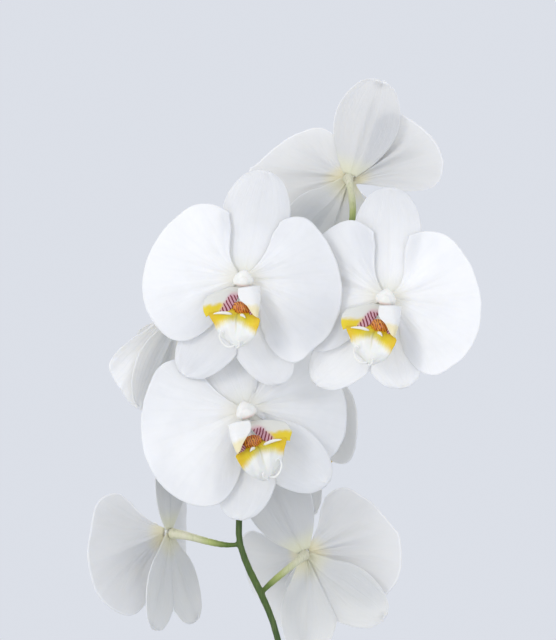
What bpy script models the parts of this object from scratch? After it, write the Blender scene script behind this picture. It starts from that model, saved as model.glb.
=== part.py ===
"""A moth orchid in flower, in a plain round pot.

Metres, +Z up.  The origin is the centre of the pot's base.  Eight open flowers stand on one arching
flower spike, which rises from a short leafy stem set in bark mix.

Each flower is modelled in its own frame: it looks along -Y, its top is +Z, and its origin is where
the petals meet.  A flower's empty then puts it in its place on the spike.
"""

import math
from collections import namedtuple

import bmesh
import bpy
from mathutils import Vector

# ---------------------------------------------------------------- clearances
SEAT_GAP = 0.0004            # between a piece and what it rests on or grows beside
MERGE_DISTANCE = 0.00001     # points closer than this are one point

# ---------------------------------------------------------------- pot and bark mix
POT_HEIGHT = 0.115
POT_BASE_RADIUS = 0.046
POT_TOP_RADIUS = 0.061
POT_WALL = 0.004
POT_FLOOR = 0.006
POT_RIM_HEIGHT = 0.012
POT_RIM_STEP = 0.0025        # how far the rim stands out from the wall
POT_FOOT_BEVEL = 0.002
POT_RIM_BEVEL = 0.0015
POT_MOUTH_BEVEL = 0.001
POT_SEGMENTS = 40
BARK_BELOW_RIM = 0.014
BARK_CROWN = 0.004           # how much higher the middle of the bark is than its edge
BARK_RINGS = 5
BARK_SIDES = 24
BARK_DIP = 0.002             # how far the hollows between the chips lie below the crown's slope
BARK_UNEVEN = 0.4            # share of the crown's height that rises and falls

# ---------------------------------------------------------------- stem, leaves and roots
CROWN_PLACE = (0.0, -0.008)  # where the leafy stem stands, seen from above
CROWN_RADIUS = 0.0085
CROWN_HEIGHT = 0.034
CROWN_SIDES = 12
LEAF_THICKNESS = 0.0024
LEAF_ROWS = 9
LEAF_COLUMNS = 4
ROOT_RADIUS = 0.0026

# ---------------------------------------------------------------- flower spike
SPRAY_HEIGHT = 0.365         # height of the lowest flower's level, which the spray is measured from
STALK_RADIUS = 0.0023        # at the foot of the spike
RACHIS_RADIUS = 0.0019       # where the lowest flower stalk leaves it
RACHIS_TIP_RADIUS = 0.0014
PEDICEL_RADIUS = 0.0013
OVARY_GAP = 0.0008           # between the sepals' backs and the ovary
PEDICEL_SWELL = 0.0024       # the ovary, where the stalk meets the flower
SPIKE_STEP = 0.0065          # spacing of the points along the spike
PEDICEL_POINTS = 11
PEDICEL_LEAVING = 0.36       # share of its reach that a flower's stalk takes to bow away
PEDICEL_ARRIVING = 0.34      # share of its reach that runs straight into the flower's back
PEDICEL_AIM = 0.75           # how much a stalk heads for its flower where it leaves the spike
OVARY_START = 0.55           # share of the stalk's length where the ovary begins

# ---------------------------------------------------------------- one flower
TEPAL_THICKNESS = 0.0009
REFLEX_REACH = 0.050         # how far out a flower's reflex is measured
PETAL_SEAT = -0.0008         # the petals' plane, in front of the sepals
SEPAL_SEAT = 0.0009
PETAL_CLAW_START = 0.0024    # distance of the petal's foot from the flower's middle
PETAL_CLAW_HALF = 0.0026
PETAL_LIFT = 0.0005
PETAL_FAN = math.radians(72)  # half the angle that a petal's rays cover
PETAL_NARROW = 0.70          # share of the fan's angle that the rays have at the petal's foot
# Length of the petal's rays from its foot, from the lowest ray to the highest.
PETAL_RAYS = (0.0275, 0.0460, 0.0515, 0.0525, 0.0510, 0.0485, 0.0465, 0.0445, 0.0350)
PETAL_RINGS = 5
SEPAL_ROWS = 6
SEPAL_COLUMNS = 4
DORSAL_LENGTH = 0.0575
DORSAL_START = 0.0022
DORSAL_TIP_ROUND = 0.035     # how far the tip's corners fall short, as a share of the length
# Half widths of a sepal in equal steps, from its foot to its tip.
DORSAL_HALVES = (0.0038, 0.0112, 0.0162, 0.0186, 0.0180, 0.0138, 0.0052)
LATERAL_LENGTH = 0.0560
LATERAL_START = 0.0052
LATERAL_HALVES = (0.0030, 0.0086, 0.0130, 0.0148, 0.0138, 0.0104, 0.0036)
LATERAL_SPREAD = math.radians(29)
LATERAL_CLEFT = 0.93         # share of the way to the middle that a lower sepal may reach
LIP_THICKNESS = 0.0013
# The lip's middle line in depth and height, its half width, and how far its edges stand up.
LIP_DEPTHS = (-0.0034, -0.0080, -0.0130, -0.0160, -0.0158, -0.0128)
LIP_HEIGHTS = (-0.0052, -0.0090, -0.0150, -0.0220, -0.0290, -0.0340)
LIP_HALVES = (0.0025, 0.0090, 0.0150, 0.0115, 0.0055, 0.0018)
LIP_RISES = (0.0000, 0.0060, 0.0050, 0.0010, 0.0000, 0.0000)
# The column's turned outline: depth and radius.
COLUMN_OUTLINE = (
    (0.0010, 0.0012), (-0.0018, 0.0014), (-0.0024, 0.0026), (-0.0052, 0.0031),
    (-0.0086, 0.0035), (-0.0108, 0.0030), (-0.0120, 0.0016),
)
COLUMN_SIDES = 8

Petal = namedtuple("Petal", "fold lift spread size upper", defaults=(0, 0, 1.0, 1.0, 1.0))
# fold: degrees that a petal swings forwards;  lift: degrees that it turns up in the flower's plane
# spread, size: its fan's angle and its length, as shares of the ordinary petal's
# upper: length of its highest rays, as a share of the ordinary ones
Flower = namedtuple(
    "Flower",
    "name place turn nod lean size left right reflex dorsal_tilt lateral_share node rise",
)
# place: the flower's middle, measured from the pot's axis and the spray's level
# turn, nod, lean: degrees about the upright, the sideways and the facing axis
# reflex: how far the sepals bend back by 50 mm out;  dorsal_tilt: the top sepal's own lean
# lateral_share: length of the lower sepals, as a share of the ordinary ones
# node: the height on the spike where the flower's stalk leaves it;  rise: how much it climbs there
FLOWERS = (
    Flower("flower_1", (-0.0189, 0.000, 0.1625), -9, 3, 7, 1.00,
           Petal(3, -2, 0.98, 1.00, 0.86), Petal(2), 0.0035, 0, 1.00, 0.140, 0.55),
    Flower("flower_2", (0.0580, -0.008, 0.1523), -13, 0, 15, 1.00,
           Petal(0, -3, 0.98, 1.00, 0.94), Petal(-2, 16, 0.94, 0.97), 0.0045, -18, 0.90, 0.124, 0.55),
    Flower("flower_3", (-0.0173, 0.016, 0.0913), 0, -6, -22, 1.04,
           Petal(2, -1, 1.00, 1.08), Petal(0, -3), 0.0030, 0, 0.95, 0.066, 0.45),
    Flower("flower_4", (0.0390, 0.038, 0.2185), 176, 2, -18, 0.96,
           Petal(8, 46, 0.62, 1.00), Petal(6, -36, 0.92, 1.02, 0.80), 0.0020, 0, 0.87, 0.186, 0.80),
    Flower("flower_5", (-0.0555, 0.050, 0.1450), -150, 0, 0, 0.98,
           Petal(10), Petal(6, -60, 0.42, 1.12), 0.0030, -35, 1.00, 0.100, 0.55),
    Flower("flower_6", (0.0110, 0.085, 0.0790), 125, 0, 0, 0.97,
           Petal(4, 20, 0.84), Petal(10), 0.0030, 0, 0.90, 0.046, 0.40),
    Flower("flower_7", (-0.0612, 0.040, 0.0222), -118, 0, 0, 0.97,
           Petal(20), Petal(28, -20, 0.88, 1.04), 0.0030, 0, 0.95, 0.0172, -0.35),
    Flower("flower_8", (0.0152, 0.051, 0.0095), 176, 0, 26, 0.98,
           Petal(8, -14, 0.92, 1.00, 0.90), Petal(44, -18, 0.90), 0.0030, 0, 0.95, -0.010, 0.10),
)

# The bare stalk's course: distance right of and behind the pot's axis, and share of its height.
STALK_COURSE = (
    (0.0045, 0.0145, 0.00), (0.0075, 0.0165, 0.12), (0.0110, 0.0210, 0.39),
    (0.0080, 0.0250, 0.68), (-0.0005, 0.0275, 0.87),
)
# The flowering part's course, with heights from the spray's level.
RACHIS_COURSE = (
    (-0.0095, 0.0285, -0.0100), (-0.0152, 0.0290, 0.0015), (-0.0208, 0.0300, 0.0165),
    (-0.0214, 0.0310, 0.0310), (-0.0205, 0.0330, 0.0600), (-0.0160, 0.0340, 0.0900),
    (-0.0050, 0.0330, 0.1200), (0.0130, 0.0300, 0.1480), (0.0290, 0.0250, 0.1690),
    (0.0390, 0.0200, 0.1860),
)

Leaf = namedtuple("Leaf", "name heading length half_width climb droop height")
# heading: degrees from +X towards +Y;  climb: degrees above level at the foot
# droop: degrees that the leaf turns down on its way;  height: of its foot above the bark
LEAVES = (
    Leaf("leaf_1", 186, 0.165, 0.030, 38, 72, 0.003),
    Leaf("leaf_2", 352, 0.172, 0.031, 40, 70, 0.008),
    Leaf("leaf_3", 168, 0.158, 0.030, 52, 66, 0.015),
    Leaf("leaf_4", 8, 0.150, 0.028, 56, 62, 0.022),
    Leaf("leaf_5", 200, 0.085, 0.018, 74, 30, 0.029),
)
# Half width along a leaf, as a share of its widest, from its foot to its tip.
LEAF_SHARES = (0.30, 0.44, 0.68, 0.88, 0.99, 1.00, 0.93, 0.76, 0.48, 0.12)
LEAF_CHANNEL = 0.22          # how far the halves fold up, as a share of the half width

Root = namedtuple("Root", "name heading turn hang")
# heading: degrees from +X towards +Y;  turn: degrees that it turns on its way
# hang: how far its tip hangs, as a share of the ordinary root's
ROOTS = (
    Root("root_1", 250, 22, 1.15),
    Root("root_2", 322, -14, 0.80),
    Root("root_3", 110, 26, 0.95),
)
# A root's course: share of the way to the rim, distance beyond the rim, height above the rim.
ROOT_COURSE = (
    (0.40, 0.0000, 0.0005), (0.70, 0.0000, 0.0050), (0.98, 0.0000, 0.0085),
    (1.00, 0.0085, 0.0030), (1.00, 0.0140, -0.0100), (1.00, 0.0140, -0.0280),
)
ROOT_START_HEIGHT = -0.0050  # above the rim, beside the crown
ROOT_GAP = 0.0012            # between a root's side and the crown
ROOT_TIP_SHARE = 0.55

Finish = namedtuple("Finish", "color roughness metallic")
FINISHES = {
    "petal_white": Finish((0.88, 0.89, 0.92, 1), 0.45, 0.0),
    "lip_yellow": Finish((0.80, 0.60, 0.05, 1), 0.45, 0.0),
    "column_white": Finish((0.90, 0.89, 0.86, 1), 0.40, 0.0),
    "stem_green": Finish((0.06, 0.14, 0.02, 1), 0.50, 0.0),
    "leaf_green": Finish((0.03, 0.10, 0.02, 1), 0.40, 0.0),
    "root_grey": Finish((0.40, 0.43, 0.32, 1), 0.80, 0.0),
    "bark_brown": Finish((0.16, 0.08, 0.04, 1), 0.90, 0.0),
    "pot_glaze": Finish((0.78, 0.76, 0.72, 1), 0.30, 0.0),
}


# ---------------------------------------------------------------- helpers
def clear_scene():
    for thing in list(bpy.data.objects):
        bpy.data.objects.remove(thing, do_unlink=True)


def make_material(name):
    finish = FINISHES[name]
    material = bpy.data.materials.new(name)
    material.use_nodes = True
    shader = material.node_tree.nodes["Principled BSDF"]
    shader.inputs["Base Color"].default_value = finish.color
    shader.inputs["Roughness"].default_value = finish.roughness
    shader.inputs["Metallic"].default_value = finish.metallic
    return material


def add_object(name, mesh_data, finish, parent=None):
    thing = bpy.data.objects.new(name, mesh_data)
    bpy.context.scene.collection.objects.link(thing)
    material = make_material(finish)
    material.name = name
    mesh_data.materials.append(material)
    thing.parent = parent
    return thing


def mesh_from(name, shape, smooth=True):
    """Turn a bmesh into a mesh, shaded smooth except at real corners."""
    bmesh.ops.recalc_face_normals(shape, faces=shape.faces)
    data = bpy.data.meshes.new(name)
    shape.to_mesh(data)
    shape.free()
    if smooth:
        data.shade_smooth()
        data.set_sharp_from_angle(angle=math.radians(50))
    return data


def thicken(thing, thickness):
    shell = thing.modifiers.new("thickness", "SOLIDIFY")
    shell.thickness = thickness
    shell.offset = 0.0


def sheet(name, across, along, place_vertex):
    """A grid whose vertices place_vertex(side, out) puts in place: side -1..1, out 0..1."""
    shape = bmesh.new()
    bmesh.ops.create_grid(shape, x_segments=across, y_segments=along, size=1.0)
    for vertex in shape.verts:
        vertex.co = place_vertex(vertex.co.x, (vertex.co.y + 1.0) / 2.0)
    data = bpy.data.meshes.new(name)
    shape.to_mesh(data)
    shape.free()
    data.shade_smooth()
    return data


def step_value(values, share):
    """The value at a share 0..1 of a list of equal steps, with straight runs between them."""
    place = min(max(share, 0.0), 1.0) * (len(values) - 1)
    low = min(int(place), len(values) - 2)
    return values[low] + (values[low + 1] - values[low]) * (place - low)


def turned(name, outline, sides, axis=(0, 0, 1)):
    """A solid of revolution about an axis through the origin, closed by its two end faces.

    The outline gives each ring's place along the axis and its radius.
    """
    shape = bmesh.new()
    direction = Vector(axis)
    side = Vector((1, 0, 0))
    points = [shape.verts.new(direction * along + side * radius) for along, radius in outline]
    edges = [shape.edges.new(pair) for pair in zip(points, points[1:])]
    bmesh.ops.spin(shape, geom=points + edges, cent=(0, 0, 0), axis=axis,
                   angle=math.tau, steps=sides, use_merge=True)
    rims = [edge for edge in shape.edges if edge.is_boundary]
    bmesh.ops.holes_fill(shape, edges=rims, sides=0)
    return mesh_from(name, shape)


def smooth_course(points, step):
    """Points about a step apart on a Catmull-Rom curve through the given ones."""
    ends = [points[0] * 2 - points[1]] + list(points) + [points[-1] * 2 - points[-2]]
    course = []
    for before, start, end, after in zip(ends, ends[1:], ends[2:], ends[3:]):
        count = max(1, round((end - start).length / step))
        for index in range(count):
            share = index / count
            course.append(0.5 * (
                2 * start
                + (end - before) * share
                + (2 * before - 5 * start + 4 * end - after) * share ** 2
                + (3 * start - before - 3 * end + after) * share ** 3
            ))
    course.append(points[-1].copy())
    return course


def tube(name, points, radii, sides_level, finish, parent=None):
    """A closed tube along the points, as a bevelled curve with filled ends."""
    data = bpy.data.curves.new(name, "CURVE")
    data.dimensions = "3D"
    data.bevel_depth = 1.0
    data.bevel_resolution = sides_level
    data.use_fill_caps = True
    spline = data.splines.new("POLY")
    spline.points.add(len(points) - 1)
    for knot, point, radius in zip(spline.points, points, radii):
        knot.co = (*point, 1.0)
        knot.radius = radius
    return add_object(name, data, finish, parent)


# ---------------------------------------------------------------- pot and bark
def pot_outer_radius(height):
    return POT_BASE_RADIUS + (POT_TOP_RADIUS - POT_BASE_RADIUS) * height / POT_HEIGHT


def pot_inner_radius(height):
    return pot_outer_radius(height) - POT_WALL


def bark_top():
    return POT_HEIGHT - BARK_BELOW_RIM


def build_pot():
    rim_foot = POT_HEIGHT - POT_RIM_HEIGHT
    outline = (
        (0.0, 0.0),
        (POT_BASE_RADIUS - POT_FOOT_BEVEL, 0.0),
        (POT_BASE_RADIUS, POT_FOOT_BEVEL),
        (pot_outer_radius(POT_HEIGHT * 0.5), POT_HEIGHT * 0.5),
        (pot_outer_radius(rim_foot), rim_foot),
        (pot_outer_radius(rim_foot) + POT_RIM_STEP, rim_foot + POT_RIM_BEVEL),
        (pot_outer_radius(POT_HEIGHT) + POT_RIM_STEP, POT_HEIGHT - POT_RIM_BEVEL),
        (pot_outer_radius(POT_HEIGHT) + POT_RIM_STEP - POT_RIM_BEVEL, POT_HEIGHT),
        (pot_inner_radius(POT_HEIGHT) + POT_MOUTH_BEVEL, POT_HEIGHT),
        (pot_inner_radius(POT_HEIGHT), POT_HEIGHT - POT_MOUTH_BEVEL),
        (pot_inner_radius(POT_FLOOR), POT_FLOOR),
        (0.0, POT_FLOOR),
    )
    shape = bmesh.new()
    points = [shape.verts.new((radius, 0, height)) for radius, height in outline]
    edges = [shape.edges.new(pair) for pair in zip(points, points[1:])]
    bmesh.ops.spin(shape, geom=points + edges, cent=(0, 0, 0), axis=(0, 0, 1),
                   angle=math.tau, steps=POT_SEGMENTS, use_merge=True)
    bmesh.ops.remove_doubles(shape, verts=shape.verts, dist=MERGE_DISTANCE)
    add_object("pot", mesh_from("pot", shape), "pot_glaze")


def build_bark():
    """The bark mix fills the pot as one lump whose top is uneven."""
    low = POT_FLOOR + SEAT_GAP
    shape = bmesh.new()
    bmesh.ops.create_cone(shape, cap_ends=True, cap_tris=False, segments=BARK_SIDES,
                          radius1=pot_inner_radius(low) - SEAT_GAP,
                          radius2=pot_inner_radius(bark_top()) - SEAT_GAP,
                          depth=bark_top() - low)
    bmesh.ops.translate(shape, verts=shape.verts, vec=(0, 0, (bark_top() + low) / 2))
    top = max(shape.faces, key=lambda face: face.calc_center_median().z)
    edge_radius = pot_inner_radius(bark_top()) - SEAT_GAP
    for ring in range(1, BARK_RINGS):
        bmesh.ops.inset_region(shape, faces=[top], thickness=edge_radius / BARK_RINGS)
        for number, vertex in enumerate(top.verts):
            bump = math.sin(number * 2.4 + ring * 1.9)
            rise = BARK_CROWN * ring / BARK_RINGS * (1 - BARK_UNEVEN + BARK_UNEVEN * bump)
            vertex.co.z = bark_top() + rise - BARK_DIP
    bmesh.ops.triangulate(shape, faces=[top])
    add_object("bark_mix", mesh_from("bark_mix", shape, smooth=False), "bark_brown")


# ---------------------------------------------------------------- stem, leaves, roots
def crown_point(distance, heading, height):
    angle = math.radians(heading)
    return Vector((CROWN_PLACE[0] + distance * math.cos(angle),
                   CROWN_PLACE[1] + distance * math.sin(angle), height))


def crown_foot():
    return bark_top() + BARK_CROWN + SEAT_GAP


def build_crown():
    outline = (
        (0.0, CROWN_RADIUS * 0.80), (CROWN_HEIGHT * 0.20, CROWN_RADIUS),
        (CROWN_HEIGHT * 0.55, CROWN_RADIUS * 0.86), (CROWN_HEIGHT * 0.85, CROWN_RADIUS * 0.55),
        (CROWN_HEIGHT, CROWN_RADIUS * 0.20),
    )
    crown = add_object("stem_base", turned("stem_base", outline, CROWN_SIDES), "stem_green")
    crown.location = (*CROWN_PLACE, crown_foot())


def build_leaf(leaf):
    """A strap that climbs from the crown, arches over and hangs, folded up along its middle."""
    foot = crown_foot() + leaf.height
    outwards = Vector((math.cos(math.radians(leaf.heading)), math.sin(math.radians(leaf.heading)), 0))
    sideways = Vector((-outwards.y, outwards.x, 0))
    upwards = Vector((0, 0, 1))
    stations = [crown_point(CROWN_RADIUS + LEAF_THICKNESS, leaf.heading, foot)]
    tilts = []
    for row in range(LEAF_ROWS + 1):
        tilts.append(math.radians(leaf.climb - leaf.droop * (row / LEAF_ROWS) ** 1.2))
    for tilt in tilts[:-1]:
        stride = (outwards * math.cos(tilt) + upwards * math.sin(tilt)) * leaf.length / LEAF_ROWS
        stations.append(stations[-1] + stride)

    def place_vertex(side, out):
        row = round(out * LEAF_ROWS)
        half = leaf.half_width * LEAF_SHARES[row]
        raised = upwards * math.cos(tilts[row]) - outwards * math.sin(tilts[row])
        return stations[row] + sideways * side * half + raised * abs(side) * half * LEAF_CHANNEL

    thing = add_object(leaf.name, sheet(leaf.name, LEAF_COLUMNS, LEAF_ROWS, place_vertex), "leaf_green")
    thicken(thing, LEAF_THICKNESS)


def rim_distance(heading):
    """How far the pot's rim is from the crown's middle in a direction seen from above."""
    crown = Vector(CROWN_PLACE)
    direction = Vector((math.cos(math.radians(heading)), math.sin(math.radians(heading))))
    along = crown.dot(direction)
    radius = pot_outer_radius(POT_HEIGHT) + POT_RIM_STEP
    return -along + math.sqrt(along ** 2 - crown.length_squared + radius ** 2)


def build_roots():
    """Roots that grow from the crown, climb over the rim and hang outside the pot."""
    for root in ROOTS:
        start = CROWN_RADIUS + ROOT_RADIUS + ROOT_GAP
        points = [crown_point(start, root.heading, POT_HEIGHT + ROOT_START_HEIGHT)]
        for index, (share, beyond, height) in enumerate(ROOT_COURSE, start=1):
            heading = root.heading + root.turn * index / len(ROOT_COURSE)
            drop = min(height, 0.0) * root.hang + max(height, 0.0)
            points.append(crown_point(rim_distance(heading) * share + beyond, heading,
                                      POT_HEIGHT + drop))
        smooth = smooth_course(points, ROOT_RADIUS * 3)
        last = len(smooth) - 1
        radii = [ROOT_RADIUS * (ROOT_TIP_SHARE if index == last else 1.0)
                 for index in range(last + 1)]
        tube(root.name, smooth, radii, 2, "root_grey")


# ---------------------------------------------------------------- flower spike
def spike_course():
    """The spike's middle line from its foot to its tip, and the radius at each point."""
    knots = []
    for right, behind, share in STALK_COURSE:
        level = crown_foot() + (SPRAY_HEIGHT - crown_foot()) * share
        knots.append(Vector((right, behind, level)))
    stalk_length = len(knots)
    for right, behind, height in RACHIS_COURSE:
        knots.append(Vector((right, behind, SPRAY_HEIGHT + height)))
    course = smooth_course(knots, SPIKE_STEP)
    first_node = knots[stalk_length].z
    top = knots[-1].z
    radii = []
    for point in course:
        if point.z < first_node:
            share = (point.z - course[0].z) / (first_node - course[0].z)
            radii.append(STALK_RADIUS + (RACHIS_RADIUS - STALK_RADIUS) * share)
        else:
            share = (point.z - first_node) / (top - first_node)
            radii.append(RACHIS_RADIUS + (RACHIS_TIP_RADIUS - RACHIS_RADIUS) * share)
    return course, radii


def course_at(course, height):
    """The place on the course at a height above the spray's level, and the direction there."""
    level = SPRAY_HEIGHT + height
    for start, end in zip(course, course[1:]):
        if start.z <= level <= end.z:
            share = (level - start.z) / (end.z - start.z)
            return start.lerp(end, share), (end - start).normalized()
    return course[-1].copy(), (course[-1] - course[-2]).normalized()


def pedicel_course(course, flower, seat, facing):
    """A flower stalk: off the spike, out in a bow, and into the flower's back."""
    start, along = course_at(course, flower.node)
    reach = (seat - start).length
    away = (seat - start).normalized()
    leave = start + (away * PEDICEL_AIM + along * flower.rise) * reach * PEDICEL_LEAVING
    arrive = seat - facing * reach * PEDICEL_ARRIVING
    points = []
    for index in range(PEDICEL_POINTS):
        share = index / (PEDICEL_POINTS - 1)
        rest = 1 - share
        points.append(start * rest ** 3 + leave * 3 * rest ** 2 * share
                      + arrive * 3 * rest * share ** 2 + seat * share ** 3)
    radii = []
    for index in range(PEDICEL_POINTS):
        swell = max(0.0, (index / (PEDICEL_POINTS - 1) - OVARY_START) / (1 - OVARY_START))
        radii.append(PEDICEL_RADIUS + (PEDICEL_SWELL - PEDICEL_RADIUS) * swell ** 1.5)
    return points, radii


def build_spike(frames):
    course, radii = spike_course()
    spike = tube("flower_spike", course, radii, 2, "stem_green")
    bpy.context.view_layer.update()
    spike_mesh = bpy.data.meshes.new_from_object(spike.evaluated_get(bpy.context.evaluated_depsgraph_get()))
    bpy.data.objects.remove(spike, do_unlink=True)
    spike = add_object("flower_spike", spike_mesh, "stem_green")
    for flower in FLOWERS:
        frame = frames[flower.name]
        seat = frame @ Vector((0, SEPAL_SEAT + TEPAL_THICKNESS / 2 + OVARY_GAP, 0))
        facing = (frame.to_3x3() @ Vector((0, -1, 0))).normalized()
        points, widths = pedicel_course(course, flower, seat, facing)
        branch = tube(flower.name + "_stalk", points, widths, 2, "stem_green")
        branch.hide_render = True
        branch.display_type = "WIRE"
        mesh = bpy.data.meshes.new_from_object(
            branch.evaluated_get(bpy.context.evaluated_depsgraph_get()))
        bpy.data.objects.remove(branch, do_unlink=True)
        branch = add_object(flower.name + "_stalk", mesh, "stem_green")
        branch.hide_render = True
        branch.display_type = "WIRE"
        join = spike.modifiers.new(flower.name, "BOOLEAN")
        join.operation = "UNION"
        join.solver = "EXACT"
        join.object = branch


# ---------------------------------------------------------------- one flower's pieces
def bend_back(flower, right, up):
    """How far the sepals lie back at a place on the flower."""
    return flower.reflex * (right ** 2 + up ** 2) / REFLEX_REACH ** 2


def build_petal(flower, parent, hand):
    """A petal fans out from a narrow foot; hand is 1 for the right one and -1 for the left."""
    petal = flower.right if hand > 0 else flower.left
    fold = math.radians(petal.fold)

    def place_vertex(side, out):
        ray = round((side + 1) / 2 * (len(PETAL_RAYS) - 1))
        flare = PETAL_NARROW + (1 - PETAL_NARROW) * out
        angle = side * PETAL_FAN * petal.spread * flare + math.radians(petal.lift)
        trim = 1 - (1 - petal.upper) * max(side, 0.0) ** 0.6
        reach = PETAL_RAYS[ray] * flower.size * petal.size * trim
        spread = out ** 0.9
        sideways = reach * math.cos(angle) * spread
        up = PETAL_CLAW_HALF * side * (1 - spread) + reach * math.sin(angle) * spread + PETAL_LIFT
        back = 0.5 * flower.reflex * (sideways ** 2 + up ** 2) / REFLEX_REACH ** 2
        swung = sideways * math.cos(fold) + back * math.sin(fold)
        depth = back * math.cos(fold) - sideways * math.sin(fold)
        return Vector((hand * (PETAL_CLAW_START + swung), PETAL_SEAT + depth, up))

    side_name = "right" if hand > 0 else "left"
    name = flower.name + "_petal_" + side_name
    data = sheet(name, len(PETAL_RAYS) - 1, PETAL_RINGS, place_vertex)
    thicken(add_object(name, data, "petal_white", parent), TEPAL_THICKNESS)


def build_dorsal_sepal(flower, parent):
    tilt = math.radians(flower.dorsal_tilt)

    def place_vertex(side, out):
        half = step_value(DORSAL_HALVES, out) * flower.size
        along = DORSAL_START + DORSAL_LENGTH * flower.size * (out - DORSAL_TIP_ROUND * side ** 2 * out ** 4)
        right = side * half * math.cos(tilt) + along * math.sin(tilt)
        up = along * math.cos(tilt) - side * half * math.sin(tilt)
        return Vector((right, SEPAL_SEAT + bend_back(flower, right, up), up))

    name = flower.name + "_dorsal_sepal"
    data = sheet(name, SEPAL_COLUMNS, SEPAL_ROWS, place_vertex)
    thicken(add_object(name, data, "petal_white", parent), TEPAL_THICKNESS)


def build_lateral_sepals(flower, parent):
    """The two lower sepals, which grow together at their foot, as one strap bent in a V."""
    rows = SEPAL_ROWS * 2

    def place_vertex(side, out):
        row = round(out * rows)
        hand = 1.0 if row > SEPAL_ROWS else -1.0
        share = abs(row - SEPAL_ROWS) / SEPAL_ROWS
        along = LATERAL_LENGTH * flower.size * flower.lateral_share * share
        middle = Vector((hand * math.sin(LATERAL_SPREAD) * along,
                         -LATERAL_START - math.cos(LATERAL_SPREAD) * along))
        at_fold = row == SEPAL_ROWS
        if at_fold:
            inward = Vector((0.0, -1.0))
        else:
            inward = Vector((-hand * math.cos(LATERAL_SPREAD), -math.sin(LATERAL_SPREAD)))
        half = step_value(LATERAL_HALVES, share) * flower.size
        inner_limit = LATERAL_CLEFT * abs(middle.x) / math.cos(LATERAL_SPREAD)
        if side > 0 and not at_fold:
            half = min(half, inner_limit)
        place = middle + inward * side * half
        return Vector((place.x, SEPAL_SEAT + bend_back(flower, place.x, place.y), place.y))

    name = flower.name + "_lateral_sepals"
    data = sheet(name, SEPAL_COLUMNS, rows, place_vertex)
    thicken(add_object(name, data, "petal_white", parent), TEPAL_THICKNESS)


def build_lip(flower, parent):
    def place_vertex(side, out):
        depth = step_value(LIP_DEPTHS, out)
        height = step_value(LIP_HEIGHTS, out)
        rise = step_value(LIP_RISES, out)
        return Vector((side * step_value(LIP_HALVES, out), depth - 0.3 * rise * side ** 2,
                       height + rise * side ** 2)) * flower.size

    name = flower.name + "_lip"
    data = sheet(name, 4, len(LIP_HEIGHTS) - 1, place_vertex)
    thicken(add_object(name, data, "lip_yellow", parent), LIP_THICKNESS)


def build_column(flower, parent):
    name = flower.name + "_column"
    add_object(name, turned(name, COLUMN_OUTLINE, COLUMN_SIDES, (0, 1, 0)), "column_white", parent)


def build_flower(flower):
    empty = bpy.data.objects.new(flower.name, None)
    bpy.context.scene.collection.objects.link(empty)
    right, behind, height = flower.place
    empty.location = (right, behind, SPRAY_HEIGHT + height)
    empty.rotation_mode = "YXZ"
    empty.rotation_euler = (math.radians(flower.nod), math.radians(flower.lean), math.radians(flower.turn))
    build_dorsal_sepal(flower, empty)
    build_lateral_sepals(flower, empty)
    build_petal(flower, empty, -1)
    build_petal(flower, empty, 1)
    build_lip(flower, empty)
    build_column(flower, empty)
    bpy.context.view_layer.update()
    return empty.matrix_world.copy()


def build():
    clear_scene()
    build_pot()
    build_bark()
    build_crown()
    for leaf in LEAVES:
        build_leaf(leaf)
    build_roots()
    frames = {flower.name: build_flower(flower) for flower in FLOWERS}
    build_spike(frames)


build()
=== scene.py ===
"""The looks of a white moth orchid in flower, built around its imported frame.

Metres, +Z up.  Each flower is shaped in its own frame, which its column and lip give: it looks along
-Y, its top is +Z, and its origin is where the petals meet.  The materials follow an attribute named
"surface".  On a petal, a sepal, a leaf or a lobe of the lip it holds (side, out, face): side -1..1
across it, out 0..1 from foot to tip, and face 0 in front and 1 behind.  On thicker pieces it holds
the shares that their own materials unpack.
"""

import math
import random
from collections import namedtuple

import bmesh
import bpy
import numpy as np
from mathutils import Matrix, Vector, noise


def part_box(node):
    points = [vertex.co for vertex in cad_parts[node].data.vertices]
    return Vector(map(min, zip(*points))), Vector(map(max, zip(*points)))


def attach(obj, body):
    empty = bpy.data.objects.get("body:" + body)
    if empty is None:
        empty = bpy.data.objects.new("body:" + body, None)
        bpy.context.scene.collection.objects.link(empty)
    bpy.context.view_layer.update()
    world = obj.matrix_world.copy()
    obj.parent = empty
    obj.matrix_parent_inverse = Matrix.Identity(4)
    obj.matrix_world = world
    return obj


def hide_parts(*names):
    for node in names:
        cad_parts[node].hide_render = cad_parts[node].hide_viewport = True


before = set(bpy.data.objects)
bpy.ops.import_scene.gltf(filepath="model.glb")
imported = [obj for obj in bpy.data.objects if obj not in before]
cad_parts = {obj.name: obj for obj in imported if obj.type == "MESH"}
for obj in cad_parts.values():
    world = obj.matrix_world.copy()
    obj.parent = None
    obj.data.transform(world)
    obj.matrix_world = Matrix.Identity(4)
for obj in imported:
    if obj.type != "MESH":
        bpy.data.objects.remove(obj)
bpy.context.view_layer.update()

MM = 0.001
BODY = "root"
MERGE_GAP = 1e-6             # vertices nearer than this are one
BALL_LEVELS = 5              # subdivisions of the balls that a callus and a cap start as

# ------------ how each flower holds itself
Petal = namedtuple("Petal", "fold lift spread size upper crown lower",
                   defaults=(0, 0, 1.0, 1.0, 1.0, 0, 1.0))
Flower = namedtuple(
    "Flower", "size left right reflex dorsal_tilt lateral_share lip_turn open_lobe lip_drop",
    defaults=(0, 0, 0))
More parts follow.
